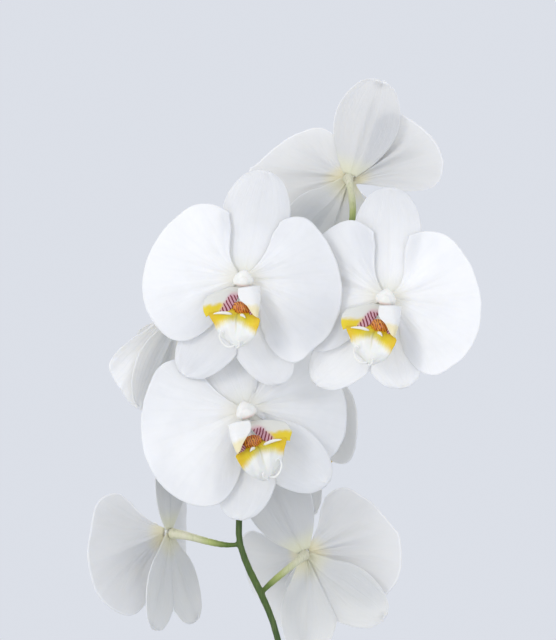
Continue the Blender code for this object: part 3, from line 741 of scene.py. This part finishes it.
def build_lateral_sepals(name, flower, world, seed, material):
    """The two lower sepals, which meet in the middle and overlap there a little."""
    def half_place(hand):
        share = flower.lateral_share[0 if hand < 0 else 1]

        def place(side, out):
            along = LATERAL_LENGTH * flower.size * share * out
            middle = Vector((hand * math.sin(LATERAL_SPREAD) * along,
                             -LATERAL_START * ease(-0.1, 0.25, out) - math.cos(LATERAL_SPREAD) * along))
            inward = Vector((-hand * math.cos(LATERAL_SPREAD), -math.sin(LATERAL_SPREAD)))
            half = rounded_half(LATERAL_HALVES, out) * flower.size
            limit = abs(middle.x) / math.cos(LATERAL_SPREAD) + LATERAL_OVERLAP
            width = min(LATERAL_FULLNESS * half, limit) if side > 0 else half
            spot = middle + inward * side * width
            shingled = hand * LATERAL_STEP * ease(0.3, 0.8, side)
            depth = SEPAL_SEAT + bend_back(flower, spot.x, spot.y) + shingled
            depth -= LATERAL_RELIEF * sepal_relief(side, out, seed + hand)
            return Vector((spot.x, depth, spot.y))

        return place

    lobes = [shell(SEPAL_ACROSS, SEPAL_ALONG, half_place(hand), sepal_wall) for hand in (-1, 1)]
    finished(f"{name}_lower_sepals", placed(joined(lobes), world), material,
             [f"{name}_lateral_sepals"])


# ------------ lip
# The midlobe's middle line (depth, height) and its half widths, in millimetres.
MIDLOBE_LINE = vectors(
    (-8.0, -14.2), (-12.5, -18.0), (-15.6, -21.8), (-16.8, -26.2), (-16.0, -30.8), (-13.6, -35.0))
MIDLOBE_SWAY = 1.9           # how far its tip swings towards the closed side lobe
MIDLOBE_HALVES = (4.0, 9.5, 14.6, 14.4, 12.8, 11.6, 9.4, 6.2, 2.0)
MIDLOBE_MESH = (56, 60)      # faces across and along
LOBE_MESH = (34, 40)
LIP_PIVOT = -17 * MM         # depth of the upright that the lip turns about
CLOSED_REACH = 0.45          # length of the tendril and horn by the closed lobe, as a share
CALLUS_SWAY = 1.5            # how far the callus stands towards the closed lobe
CALLUS_MIDDLE = Vector((0, -10.6, -14.2))
CALLUS_RADII = (5.2, 3.2, 3.5)
TENDRIL_STEPS = 25
TENDRIL_RADII = (0.72, 0.30)
TENDRIL_SIDES = 10
TENDRIL = vectors(
    (0.8, -13.6, -34.4), (3.2, -15.2, -35.4), (6.0, -16.6, -34.2), (8.0, -17.6, -31.4),
    (8.2, -18.4, -28.4), (6.8, -18.6, -27.2), (5.8, -18.2, -28.2))
LIP_TIP = -35.0              # height of the lip's tip, where the tendrils start
PRONG_STEPS = 15
PRONG_SIDES = 14
PRONG_FLAT = 0.75
PRONG_FOOT = (2.4, -13.6, -17.9)
PRONG_REACH = (9.0, -4.6)    # how far it points sideways and forwards
CLAW_STEPS = 12
CLAW_RADII = (1.9, 3.8)
CLAW_LINE = vectors(
    (0, -0.6, -1.6), (0, -1.0, -4.6), (0, -2.6, -8.4), (0, -5.2, -11.8), (0, -8.4, -14.8))
CLAW_SIDES = 20
CLAW_FLAT = 0.62             # its thickness, as a share of its width
# A side lobe as rows from the lip's base to the free edge, each from its back to its front corner.
# The spread lobe shows its inner face; the closed one curves in over the throat.
OPEN_LOBE = [vectors(*row) for row in (
    ((2.2, -3.4, -3.0), (3.0, -5.6, -8.0), (3.8, -8.4, -12.6), (5.4, -11.6, -17.0)),
    ((8.0, -5.8, -4.2), (8.8, -8.0, -8.8), (9.8, -11.2, -13.6), (10.6, -14.2, -18.8)),
    ((14.0, -9.2, -7.0), (14.6, -11.6, -10.8), (14.8, -14.4, -15.2), (14.6, -16.8, -20.2)),
    ((19.0, -12.4, -10.4), (19.6, -14.2, -13.4), (18.8, -16.0, -17.0), (15.6, -17.8, -21.0)),
)]
CLOSED_LOBE = [vectors(*row) for row in (
    ((2.6, -3.4, -2.0), (4.0, -6.4, -8.0), (5.4, -9.4, -13.0), (7.6, -12.2, -17.8)),
    ((8.6, -6.6, -1.4), (10.8, -9.6, -7.2), (12.0, -12.6, -12.6), (12.8, -14.8, -17.8)),
    ((6.6, -13.2, -1.6), (10.2, -15.4, -7.2), (12.2, -16.8, -12.4), (13.0, -16.8, -17.2)),
    ((0.4, -16.2, -3.4), (2.4, -18.2, -8.4), (7.8, -18.6, -12.2), (12.2, -17.4, -16.8)),
)]


def midlobe_place(side, out, aside):
    """A broad blade with raised shoulders, a groove between two keels, and a narrow tip."""
    line = spline_at(MIDLOBE_LINE, out)
    half = spline_at(MIDLOBE_HALVES, out)
    shoulder = bump(0.28, 0.16, out)
    lift = 0.8 * shoulder * abs(side) ** 2.2
    cup = 2.4 * shoulder * side ** 2 - 2.0 * ease(0.45, 0.85, out) * side ** 2
    groove = 1.0 * bump(0.0, 0.13, side) * ease(0.02, 0.2, out) * ease(0.95, 0.5, out)
    keels = 0.8 * (bump(-0.30, 0.12, side) + bump(0.30, 0.12, side)) * bump(0.40, 0.30, out)
    ripple = 0.7 * rough(side * 4.0, out * 7.0, 2.0) * abs(side)
    drift = aside * ease(0.20, 0.62, out)
    return Vector((side * half + drift, line.x - cup + groove - keels + ripple, line.y + lift)) * MM


def midlobe_wall(side, out):
    return (0.45 + 0.9 * bump(0.0, 0.5, side) * ease(0.7, 0.1, out)) * MM


def lobe_place(hand, net):
    """A side lobe's middle sheet, through the rows of its net."""
    def place(side, out):
        across = (side + 1) / 2
        rim = [spline_at(row, across) for row in net]
        spot = spline_at(rim, out)
        wave = 0.45 * rough(across * 4.0, out * 3.0, 9.0 + hand) * out
        return Vector((hand * (spot.x + wave), spot.y, spot.z)) * MM

    return place


def lobe_wall(side, out):
    return (0.40 + 0.55 * (1 - out)) * MM


def tapered(radii, steps):
    """The radii of a tube that narrows or widens evenly from one end to the other."""
    start, end = radii
    return [(start + (end - start) * share) * MM for share in shares(steps)]


def build_tendril(hand, reach, aside):
    """A tendril that leaves the lip's tip and hooks up beside it."""
    course = []
    for share in shares(TENDRIL_STEPS):
        spot = spline_at(TENDRIL, share)
        course.append(Vector((aside + hand * spot.x * reach, spot.y,
                              LIP_TIP + (spot.z - LIP_TIP) * reach)) * MM)
    return swept(course, tapered(TENDRIL_RADII, TENDRIL_STEPS), TENDRIL_SIDES)


def build_prong(hand, reach):
    """A thin horn beside the callus, which points out over the shoulder."""
    aside, front, foot = PRONG_FOOT
    sideways, forwards = PRONG_REACH
    course = []
    radii = []
    for share in shares(PRONG_STEPS):
        droop = 0.5 * math.sin(math.pi * share) - 0.9 * share ** 2
        course.append(Vector((hand * (aside + sideways * reach * share),
                              front + forwards * reach * share, foot + droop)) * MM)
        radii.append((0.12 + 1.87 * math.sqrt(share) * (1 - share) ** 0.8) * MM)
    return swept(course, radii, PRONG_SIDES, PRONG_FLAT)


def build_callus(aside):
    """Two fleshy humps side by side, with a crease between them."""
    shape = bmesh.new()
    marked(shape)
    bmesh.ops.create_icosphere(shape, subdivisions=BALL_LEVELS, radius=1.0)
    middle = CALLUS_MIDDLE + Vector((aside, 0, 0))
    wide, deep, high = CALLUS_RADII
    for vertex in shape.verts:
        x, y, z = vertex.co
        knobs = 1 + 0.10 * rough(x * 3.0, y * 3.0, z * 3.0) + 0.05 * rough(x * 8.0, y * 8.0, z * 8.0)
        crease = 1 - 0.24 * bump(0.0, 0.22, x) * ease(0.4, -0.6, y)
        spot = Vector((x * wide * knobs, y * deep * knobs * crease, z * high * knobs - y * 0.8))
        vertex.co = (middle + spot) * MM
    return shape


def build_claw():
    """The narrow claw that joins the column's foot to the lip."""
    course = [spline_at(CLAW_LINE, share) * MM for share in shares(CLAW_STEPS)]
    return swept(course, tapered(CLAW_RADII, CLAW_STEPS), CLAW_SIDES, CLAW_FLAT)


def lip_world(flower, world):
    """The lip's own frame: the flower's, turned about an upright and hung a little lower."""
    pivot = Matrix.Translation((0, LIP_PIVOT, 0))
    turn = Matrix.Rotation(math.radians(flower.lip_turn), 4, "Z")
    drop = Matrix.Translation((0, 0, -flower.lip_drop * MM))
    return world @ Matrix.Scale(flower.size, 4) @ drop @ pivot @ turn @ pivot.inverted()


def build_lip(name, flower, world, finishes):
    """The lip's pieces: its three lobes, and what stands on them and holds them."""
    place = lip_world(flower, world)
    aside = -MIDLOBE_SWAY * flower.open_lobe

    def add(title, shape, finish, replaces=()):
        finished(f"{name}_{title}", placed(shape, place), finishes[finish], replaces)

    def swayed_midlobe(side, out):
        return midlobe_place(side, out, aside)

    add("lip_midlobe", shell(*MIDLOBE_MESH, swayed_midlobe, midlobe_wall), "midlobe",
        [f"{name}_lip"])
    for hand, title in ((-1, "left"), (1, "right")):
        net = OPEN_LOBE if flower.open_lobe in (hand, 0) else CLOSED_LOBE
        inward = Vector((-hand, -0.2, 0.0))
        add(f"lip_side_lobe_{title}", shell(*LOBE_MESH, lobe_place(hand, net), lobe_wall, inward),
            "lobe")
    reaches = {hand: CLOSED_REACH if hand == -flower.open_lobe else 1.0 for hand in (-1, 1)}
    tendrils = [build_tendril(hand, reach, aside) for hand, reach in reaches.items()]
    add("lip_tendrils", joined(tendrils), "column")
    add("lip_callus", build_callus(-CALLUS_SWAY * flower.open_lobe), "callus")
    prongs = [build_prong(hand, reach) for hand, reach in reaches.items()]
    add("lip_prongs", joined(prongs), "column")
    add("lip_claw", build_claw(), "column")


# ------------ column
# The column's turned outline (depth, radius), and its cap's middle, radii and brim, in millimetres.
COLUMN_OUTLINE = vectors(
    (1.0, 0.8), (0.2, 2.4), (-1.6, 3.2), (-3.6, 3.2), (-5.8, 3.5), (-8.0, 3.9), (-9.8, 3.9),
    (-11.0, 3.2), (-11.9, 1.8), (-12.1, 0.3))
COLUMN_ALONG = 40
COLUMN_AROUND = 36
CAP_MIDDLE = Vector((0, -8.9, 0.8))
CAP_RADII = (5.8, 2.8, 5.2)
CAP_BRIM = -0.55             # the cap's lower edge, as a share of its height
CAP_SQUASH = 0.35            # how much of the ball is left below the brim
COLUMN_SWAY = 0.20           # how far the column leans towards the open lobe
LOW_LIP = 2                  # lip_drop from which it leans less, by this share
LOW_LIP_SWAY = 0.25
COLUMN_DIP = 0.06            # how far it dips for each millimetre of lip_drop


def build_club():
    """The column's thick club, with a hollow underneath near its tip."""
    points = [spline_at(COLUMN_OUTLINE, share) * MM for share in shares(COLUMN_ALONG)]
    club = spun([(point.y, point.x, 0) for point in points], (0, 1, 0), COLUMN_AROUND)
    surface = marked(club)
    for vertex in club.verts:
        x, y, z = vertex.co / MM
        under = ease(-0.2, -2.6, z)
        hollow = under * bump(-8.6, 2.0, y) * bump(0.0, 2.0, x)
        wide = 1 + 0.22 * ease(1.5, -2.0, z) * ease(-4.0, -8.0, y)
        vertex.co = Vector((x * wide, y, z + 1.6 * hollow)) * MM
        vertex[surface] = (0.0, 0.0, clamp(0.25 * under + hollow))
    return club


def build_cap():
    """The anther cap: a bell with a beak in front and a notch in its brow."""
    cap = bmesh.new()
    surface = marked(cap)
    bmesh.ops.create_icosphere(cap, subdivisions=BALL_LEVELS, radius=1.0)
    wide, deep, high = CAP_RADII
    for vertex in cap.verts:
        x, y, z = vertex.co
        bell = 1 - 0.34 * ease(-0.3, 1.0, z)
        brow = 1 - 0.07 * bump(0.0, 0.22, x) * ease(0.3, -0.5, y)
        low = max(z, CAP_BRIM) + CAP_SQUASH * min(z - CAP_BRIM, 0.0)
        beak = bump(-0.65, 0.35, z) * ease(0.2, -0.8, y) * bump(0.0, 0.5, x)
        spot = Vector((x * wide * bell, y * deep * brow - 0.5 * beak, low * high))
        vertex.co = (CAP_MIDDLE + spot) * MM
        vertex[surface] = (0.0, 0.0, 0.40 * ease(CAP_BRIM, -0.95, z))
    return cap


def build_column(name, flower, world, material):
    """The club and its cap, leaning a little towards the open lobe."""
    sway = Matrix.Identity(4)
    share = 1.0 if flower.lip_drop < LOW_LIP else LOW_LIP_SWAY
    sway[0][1] = COLUMN_SWAY * flower.open_lobe * share
    sway[2][1] = COLUMN_DIP * flower.lip_drop
    place = world @ Matrix.Scale(flower.size, 4) @ sway
    finished(f"{name}_column_club", placed(build_club(), place), material,
             [f"{name}_column"])
    finished(f"{name}_anther_cap", placed(build_cap(), place), material)


# ------------ pieces refined from their CAD solids
def solid(node):
    """A CAD node's solid as a bmesh."""
    shape = bmesh.new()
    shape.from_mesh(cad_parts[node].data)
    bmesh.ops.remove_doubles(shape, verts=shape.verts, dist=MERGE_GAP)
    return shape


def modified(shape, kind, **settings):
    """What a modifier makes of a bmesh."""
    piece = linked("rough", shape)
    modifier = piece.modifiers.new("modifier", kind)
    for name, value in settings.items():
        setattr(modifier, name, value)
    bpy.context.view_layer.update()
    made = bpy.data.meshes.new_from_object(
        piece.evaluated_get(bpy.context.evaluated_depsgraph_get()))
    bpy.data.objects.remove(piece, do_unlink=True)
    shape = bmesh.new()
    shape.from_mesh(made)
    bpy.data.meshes.remove(made)
    return shape


def refined(node, voxel, smoothing):
    """A CAD node's solid as an even bmesh, rounded by so many rounds of smoothing."""
    shape = modified(solid(node), "REMESH", mode="VOXEL", voxel_size=voxel)
    for _ in range(smoothing):
        bmesh.ops.smooth_vert(shape, verts=shape.verts, factor=0.5, use_axis_x=True,
                              use_axis_y=True, use_axis_z=True)
    shape.normal_update()
    return shape


# ------------ flower spike
SPIKE_VOXEL = 0.00055
SPIKE_SMOOTHING = 6
STERILE_NODES = (0.165, 0.225, 0.290)  # heights of the joints on the bare stalk
PALE_START = 0.046           # distances from a flower's middle at which its stalk begins to pale,
PALE_END = 0.010             # and is palest
SWELL_END = 0.022            # and at which its ovary is thickest
TRACK_STEP = 0.004           # the stalk's middle is found at levels this far apart
TRACK_REACH = 0.0055         # among the points this near to the last one
TRACK_LEAST = 8              # for as long as there are so many
BRACT_MESH = (24, 16)
BRACT_LENGTH = 11.0 * MM


def track_stalk(shape):
    """The stalk's middle, level by level from its foot, as a list of points."""
    points = np.array([vertex.co[:] for vertex in shape.verts])
    x, y, z = points.T
    level = z.min() + TRACK_STEP
    centre = points[z < level].mean(axis=0)
    course = []
    while level < z.max():
        near = points[(abs(z - level) < TRACK_STEP * 0.6)
                      & (np.hypot(x - centre[0], y - centre[1]) < TRACK_REACH)]
        if len(near) < TRACK_LEAST:
            break
        centre = near.mean(axis=0)
        course.append(Vector((centre[0], centre[1], level)))
        level += TRACK_STEP
    return course


def build_spike(middles, material):
    """The spike, with ribs, rings at its joints and ovaries; gives the bare stalk's course."""
    shape = refined("flower_spike", SPIKE_VOXEL, SPIKE_SMOOTHING)
    surface = marked(shape)
    course = track_stalk(shape)
    hearts = np.array([middle[:] for middle in middles])
    for vertex in shape.verts:
        place = np.array(vertex.co)
        gap = np.linalg.norm(hearts - place, axis=1).min()
        pale = ease(PALE_START, PALE_END, gap)
        joint = max(bump(height, 0.0016, place[2]) for height in STERILE_NODES)
        ribs = rough(place[0] * 900, place[1] * 900, place[2] * 40)
        swell = 0.85 * ease(PALE_START, SWELL_END, gap)
        vertex.co += vertex.normal * (0.09 * ribs + 0.55 * joint + swell) * MM
        vertex[surface] = (pale, joint, 0.0)
    finished("spike_stalk", shape, material, ["flower_spike"])
    return course


def nearest_on(course, height):
    """The course's point nearest to a height, and its direction there."""
    index = min(range(len(course) - 1), key=lambda step: abs(course[step].z - height))
    return course[index], (course[index + 1] - course[index]).normalized()


def bract_wall(side, out):
    return (0.42 - 0.25 * out) * MM


def build_bracts(course, material):
    """A clasping scale at each joint of the bare stalk."""
    scales = []
    for number, height in enumerate(STERILE_NODES):
        centre, along = nearest_on(course, height)
        heading = number * 2.5 + 0.6
        outwards = Vector((math.cos(heading), math.sin(heading), 0))
        across = along.cross(outwards).normalized()
        outwards = across.cross(along).normalized()

        def place(side, out, centre=centre, along=along, outwards=outwards, across=across):
            swing = side * 2.2 * (1 - out) ** 0.7
            radius = (2.55 + 0.9 * out ** 2) * MM
            around = outwards * math.cos(swing) + across * math.sin(swing)
            return centre + around * radius + along * out * BRACT_LENGTH

        scales.append(shell(*BRACT_MESH, place, bract_wall, outwards))
    shape = joined(scales)
    surface = shape.verts.layers.float_vector["surface"]
    for vertex in shape.verts:
        out = vertex[surface][1]
        vertex[surface] = (0.25 + 0.35 * out, 0.4, 0.0)
    finished("stalk_bracts", shape, material)


# ------------ leaves, stem base and roots
LEAF_LEVELS = 4              # rounds of subdivision
JOIN_ANGLE = 3.1             # any two triangles that lie flatter than this become a quad
STEM_VOXEL = 0.0007
STEM_SMOOTHING = 4
ROOT_SMOOTHING = 5


def build_leaf(node, material):
    """The leaf's solid, rounded, with a channelled midrib, fine lines and a waved edge."""
    cage = solid(node)
    bmesh.ops.join_triangles(cage, faces=cage.faces, angle_face_threshold=JOIN_ANGLE,
                             angle_shape_threshold=JOIN_ANGLE)
    shape = modified(cage, "SUBSURF", levels=LEAF_LEVELS, render_levels=LEAF_LEVELS)
    low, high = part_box("stem_base")
    crown = (low + high) / 2
    far = max(shape.verts, key=lambda vertex: (vertex.co - crown).to_2d().length).co
    outwards = Vector((far.x - crown.x, far.y - crown.y, 0)).normalized()
    sideways = Vector((-outwards.y, outwards.x, 0))
    length = (far - crown).to_2d().length
    half = max(abs((vertex.co - crown).dot(sideways)) for vertex in shape.verts)
    surface = marked(shape)
    shape.normal_update()
    for vertex in shape.verts:
        offset = vertex.co - crown
        side = offset.dot(sideways) / half
        out = clamp(offset.dot(outwards) / length)
        under = 1.0 if vertex.normal.z < 0 else 0.0
        channel = -0.7 * bump(0.0, 0.07, side) * (1 - 2.0 * under)
        lines = 0.06 * math.sin(side * 70.0)
        wave = 1.6 * rough(out * 2.4 + far.x * 30, side * 0.7, 4.0) * abs(side)
        vertex.co += vertex.normal * (channel + lines) * MM + Vector((0, 0, wave * MM))
        vertex[surface] = (side, out, under)
    finished(node + "_blade", shape, material, [node])


def build_stem_base(material):
    """The leafy stem, ringed by the sheaths of its leaves."""
    shape = refined("stem_base", STEM_VOXEL, STEM_SMOOTHING)
    surface = marked(shape)
    low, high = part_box("stem_base")
    centre = (low + high) / 2
    for vertex in shape.verts:
        offset = vertex.co - centre
        turn = math.atan2(offset.y, offset.x)
        height = (vertex.co.z - low.z) / (high.z - low.z)
        sheath = math.sin(height * 16.0 + 2.0 * math.cos(turn)) * 0.45
        vertex.co += vertex.normal * sheath * MM
        vertex[surface] = (0.10 + 0.35 * (1 - height), 0.0, 0.0)
    finished("leafy_stem", shape, material, ["stem_base"])


def build_root(node, material):
    """A root with an uneven, pitted skin and a smooth tip."""
    shape = refined(node, STEM_VOXEL, ROOT_SMOOTHING)
    surface = marked(shape)
    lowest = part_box(node)[0].z
    for vertex in shape.verts:
        place = vertex.co
        knobs = rough(place.x * 110, place.y * 110, place.z * 110)
        pits = rough(place.x * 420, place.y * 420, place.z * 420)
        tip = ease(0.012, 0.002, place.z - lowest)
        vertex.co += vertex.normal * (0.42 * knobs + 0.10 * pits) * (1 - tip) * MM
        vertex[surface] = (tip, 0.0, 0.0)
    finished(node + "_skin", shape, material, [node])


# ------------ bark
CHIP_COUNT = 420
CHIP_SIZES = ((4.2, 11.0), (3.2, 7.2), (1.5, 3.8))  # least and most length, width and thickness
CHIP_DEPTH = 0.0032          # how far the outer chips' middles lie below the mix's top
CHIP_HEAP = 0.0026           # how much higher they lie in the middle
CHIP_JITTER = (-0.0020, 0.0016)
CHIP_REACH = 0.93            # share of the mix's radius that they fill
CHIP_INSET = 0.92            # share of its way out that a chip keeps when it would touch the pot
CHIP_TILT = 0.45
CHIP_SHARP = math.radians(38)
CROWN_GAP = 0.011            # room left for the leafy stem


def bark_chip(size, shade, seed, place):
    """One broken chip: a block with worn corners and uneven faces."""
    chip = bmesh.new()
    surface = marked(chip)
    bmesh.ops.create_cube(chip, size=1.0)
    bmesh.ops.subdivide_edges(chip, edges=chip.edges, cuts=1, use_grid_fill=True)
    for vertex in chip.verts:
        x, y, z = vertex.co
        worn = 1 - 0.16 * (abs(x) > 0.4) * (abs(y) > 0.4) - 0.10 * (abs(z) > 0.4)
        jag = 1 + 0.38 * rough(x * 2.3 + seed, y * 2.3, z * 2.3)
        vertex.co = Vector((x * size.x * jag * worn, y * size.y * jag * worn, z * size.z * (2 - jag)))
        vertex[surface] = (shade, seed, 0.0)
    bmesh.ops.recalc_face_normals(placed(chip, place), faces=chip.faces)
    return chip


def build_bark(material):
    """Loose chips of bark, heaped on the mix and up against the pot's wall."""
    dice = random.Random(41)
    low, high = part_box("bark_mix")
    radius = (high.x - low.x) / 2
    crown_low, crown_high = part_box("stem_base")
    crown = (crown_low + crown_high) / 2
    chips = []
    for _ in range(CHIP_COUNT):
        distance = radius * math.sqrt(dice.random()) * CHIP_REACH
        heading = dice.uniform(0, math.tau)
        size = Vector([dice.uniform(least, most) for least, most in CHIP_SIZES]) * MM
        slope = 1 - distance / radius
        height = high.z - CHIP_DEPTH + CHIP_HEAP * slope + dice.uniform(*CHIP_JITTER)
        centre = Vector((distance * math.cos(heading), distance * math.sin(heading), height))
        if (centre - crown).to_2d().length < CROWN_GAP:
            continue
        if distance + size.x / 2 > radius:
            centre = Vector((centre.x * CHIP_INSET, centre.y * CHIP_INSET, height))
        spin = Matrix.Rotation(dice.uniform(0, math.tau), 4, "Z")
        tip = (Matrix.Rotation(dice.gauss(0, CHIP_TILT), 4, "X")
               @ Matrix.Rotation(dice.gauss(0, CHIP_TILT), 4, "Y"))
        chips.append(bark_chip(size, dice.random(), dice.uniform(0, 50),
                               Matrix.Translation(centre) @ spin @ tip))
    pieces = finished("bark_pieces", joined(chips), material)
    pieces.data.set_sharp_from_angle(angle=CHIP_SHARP)
    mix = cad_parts["bark_mix"].data
    mix.materials.clear()
    mix.materials.append(material)


# ------------ pot
POT_WALL = 0.004
POT_RIM_HEIGHT = 0.012
POT_RIM_STEP = 0.0025
POT_FLOOR = 0.006
POT_STEPS = 120
POT_FOOT = 0.0022            # height of the foot ring
POT_FOOT_LEVEL = 0.0025      # vertices below this are the pot's foot
POT_RINGS = 24               # throwing rings on its wall
RING_DEPTH = 0.00010
RIM_UNDER_ROUND = 0.0016     # radii of the rim's lower and upper edge
RIM_ROUND = 0.0032
RIM_INSIDE = 0.009           # depth at which the rim's inner face ends
ROUND_STEP = 15              # degrees between the points of a rounded edge
POT_SHARP = math.radians(60)


def rounded(middle, radius, first, last):
    """An arc's points from one angle to another, in degrees."""
    angles = [math.radians(angle) for angle in range(first, last + 1, ROUND_STEP)]
    return [(middle[0] + radius * math.cos(angle), middle[1] + radius * math.sin(angle))
            for angle in angles]


def build_pot(material):
    """The pot, turned smoothly: a foot ring, a tapered wall and a rolled rim."""
    low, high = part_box("pot")
    height = high.z
    top = (high.x - low.x) / 2 - POT_RIM_STEP
    points = node_points("pot")
    base = np.hypot(points[:, 0], points[:, 1])[points[:, 2] < POT_FOOT_LEVEL].max()

    def wall(level):
        return base + (top - base) * level / height

    rim_foot = height - POT_RIM_HEIGHT
    outline = [
        (0.0, POT_FOOT), (base - 0.0080, POT_FOOT), (base - 0.0062, 0.0), (base - 0.0022, 0.0),
        (base - 0.0006, 0.0007), (base, POT_FOOT),
    ]
    for index in range(1, POT_RINGS):
        level = rim_foot * index / POT_RINGS
        outline.append((wall(level) + RING_DEPTH * math.sin(index * 2.6), level))
    outline += [(wall(rim_foot) - 0.0004, rim_foot - 0.0008), (wall(rim_foot), rim_foot)]
    under = (wall(rim_foot) + POT_RIM_STEP - RIM_UNDER_ROUND, rim_foot + RIM_UNDER_ROUND)
    outline += rounded(under, RIM_UNDER_ROUND, -90, 0)
    outline += rounded((top + POT_RIM_STEP - RIM_ROUND, height - RIM_ROUND), RIM_ROUND, 0, 180)
    inner = height - RIM_INSIDE
    outline += [(wall(inner) - POT_WALL, inner), (wall(POT_FLOOR) - POT_WALL, POT_FLOOR),
                (0.0, POT_FLOOR)]
    shape = spun([(radius, 0, level) for radius, level in outline], (0, 0, 1), POT_STEPS)
    pot = finished("glazed_pot", shape, material, ["pot"])
    pot.data.set_sharp_from_angle(angle=POT_SHARP)


# ------------ light, floor and camera
CAMERA_DISTANCE = 1.5
VIEW_HEIGHT = 0.3456         # height of the view at the flowers
SPRAY_MIDDLE = 0.5054        # height that the camera looks at
SENSOR = 36.0
VIEW_LIMIT = 20
FLOOR_RADIUS = 1.7
FLOOR_SIDES = 96
SKY = (0.735, 0.765, 0.830, 1)
SKY_STRENGTH = 0.97
AIM = (0, 0, SPRAY_MIDDLE)
LAMPS = (                    # name, place, aim, width, power and colour
    ("key", (-1.2, -1.45, 1.15), AIM, 0.55, 7.9, (1.0, 0.96, 0.90)),
    ("fill", (0.5, -1.6, 0.42), AIM, 1.4, 4.6, (1.0, 0.97, 0.94)),
    ("back", (0.3, 1.6, 1.2), AIM, 1.0, 8.0, (1.0, 0.98, 0.95)),
    ("low", (-1.3, -0.5, 0.15), (-0.10, 0, 0.45), 0.5, 2.0, (1.0, 0.97, 0.93)),
)


def build_studio():
    shape = bmesh.new()
    bmesh.ops.create_circle(shape, cap_ends=True, radius=FLOOR_RADIUS, segments=FLOOR_SIDES)
    finish = Finish("floor_pale")
    grain = finish.noise(finish.place(), 14.0, 4.0)
    floor = linked("floor", shape)
    floor.data.materials.append(finish.done(
        base_color=finish.mix(grain, (0.70, 0.72, 0.76), (0.74, 0.76, 0.80)), roughness=0.85))

    world = bpy.data.worlds.new("studio")
    world.use_nodes = True
    background = world.node_tree.nodes["Background"].inputs
    background["Color"].default_value = SKY
    background["Strength"].default_value = SKY_STRENGTH
    bpy.context.scene.world = world

    for name, place, aim, width, power, color in LAMPS:
        light = bpy.data.lights.new(name, "AREA")
        light.shape = "DISK"
        light.size = width
        light.energy = power
        light.color = color
        lamp = linked(name, light)
        lamp.location = place
        lamp.rotation_mode = "QUATERNION"
        lamp.rotation_quaternion = (Vector(aim) - Vector(place)).to_track_quat("-Z", "Y")

    data = bpy.data.cameras.new("camera")
    data.sensor_width = SENSOR
    data.lens = SENSOR * CAMERA_DISTANCE / VIEW_HEIGHT
    data.clip_end = VIEW_LIMIT
    camera = linked("camera", data)
    camera.location = (0, -CAMERA_DISTANCE, SPRAY_MIDDLE)
    camera.rotation_euler = (math.radians(90), 0, 0)
    bpy.context.scene.camera = camera
    bpy.context.scene.view_settings.view_transform = "Standard"


# ------------ the plant
def build():
    """Every piece of the plant; a flower's place in the row seeds its folds."""
    petal = tepal_finish("petal_white", (0.885, 0.885, 0.88), (0.67, 0.675, 0.68), (0.78, 0.73, 0.52))
    sepal = tepal_finish("sepal_white", (0.81, 0.815, 0.82), (0.68, 0.685, 0.68), (0.73, 0.70, 0.50))
    # the top sepal's copy, whose outer part is painted greyer: painted shade
    dorsal = tepal_finish(
        "sepal_shaded", (0.83, 0.835, 0.84), (0.66, 0.665, 0.67), (0.74, 0.74, 0.58), tip_shade=0.36)
    # painted light: a brighter copy of the petal colours, with the back as bright as the front, for the
    # flowers that should look lit through
    bright = tepal_finish(
        "petal_painted_bright", (0.92, 0.915, 0.90), (0.92, 0.912, 0.88), (0.84, 0.80, 0.62), translucency=1.0)
    finishes = {
        "midlobe": lip_finish(), "lobe": lobe_finish(), "callus": callus_finish(),
        "column": column_finish(),
    }
    stem = stem_finish()
    middles = []
    for number, (name, flower) in enumerate(FLOWERS.items(), start=1):
        world = flower_frame(name)
        middles.append(world.translation.copy())
        broad, narrow, top = [bright] * 3 if name in PAINTED_BRIGHT_FLOWERS else (petal, sepal, dorsal)
        build_petal(name, flower, world, -1, 1.7 * number, broad)
        build_petal(name, flower, world, 1, 1.7 * number + 0.8, broad)
        build_dorsal_sepal(name, flower, world, 2.3 * number, top)
        build_lateral_sepals(name, flower, world, 3.1 * number, narrow)
        build_lip(name, flower, world, finishes)
        build_column(name, flower, world, finishes["column"])
    course = build_spike(middles, stem)
    build_bracts(course, stem)
    build_stem_base(stem)
    leaf = leaf_finish()
    for number in range(1, 6):
        build_leaf(f"leaf_{number}", leaf)
    root = root_finish()
    for number in range(1, 4):
        build_root(f"root_{number}", root)
    build_bark(bark_finish())
    build_pot(pot_finish())


build()
build_studio()
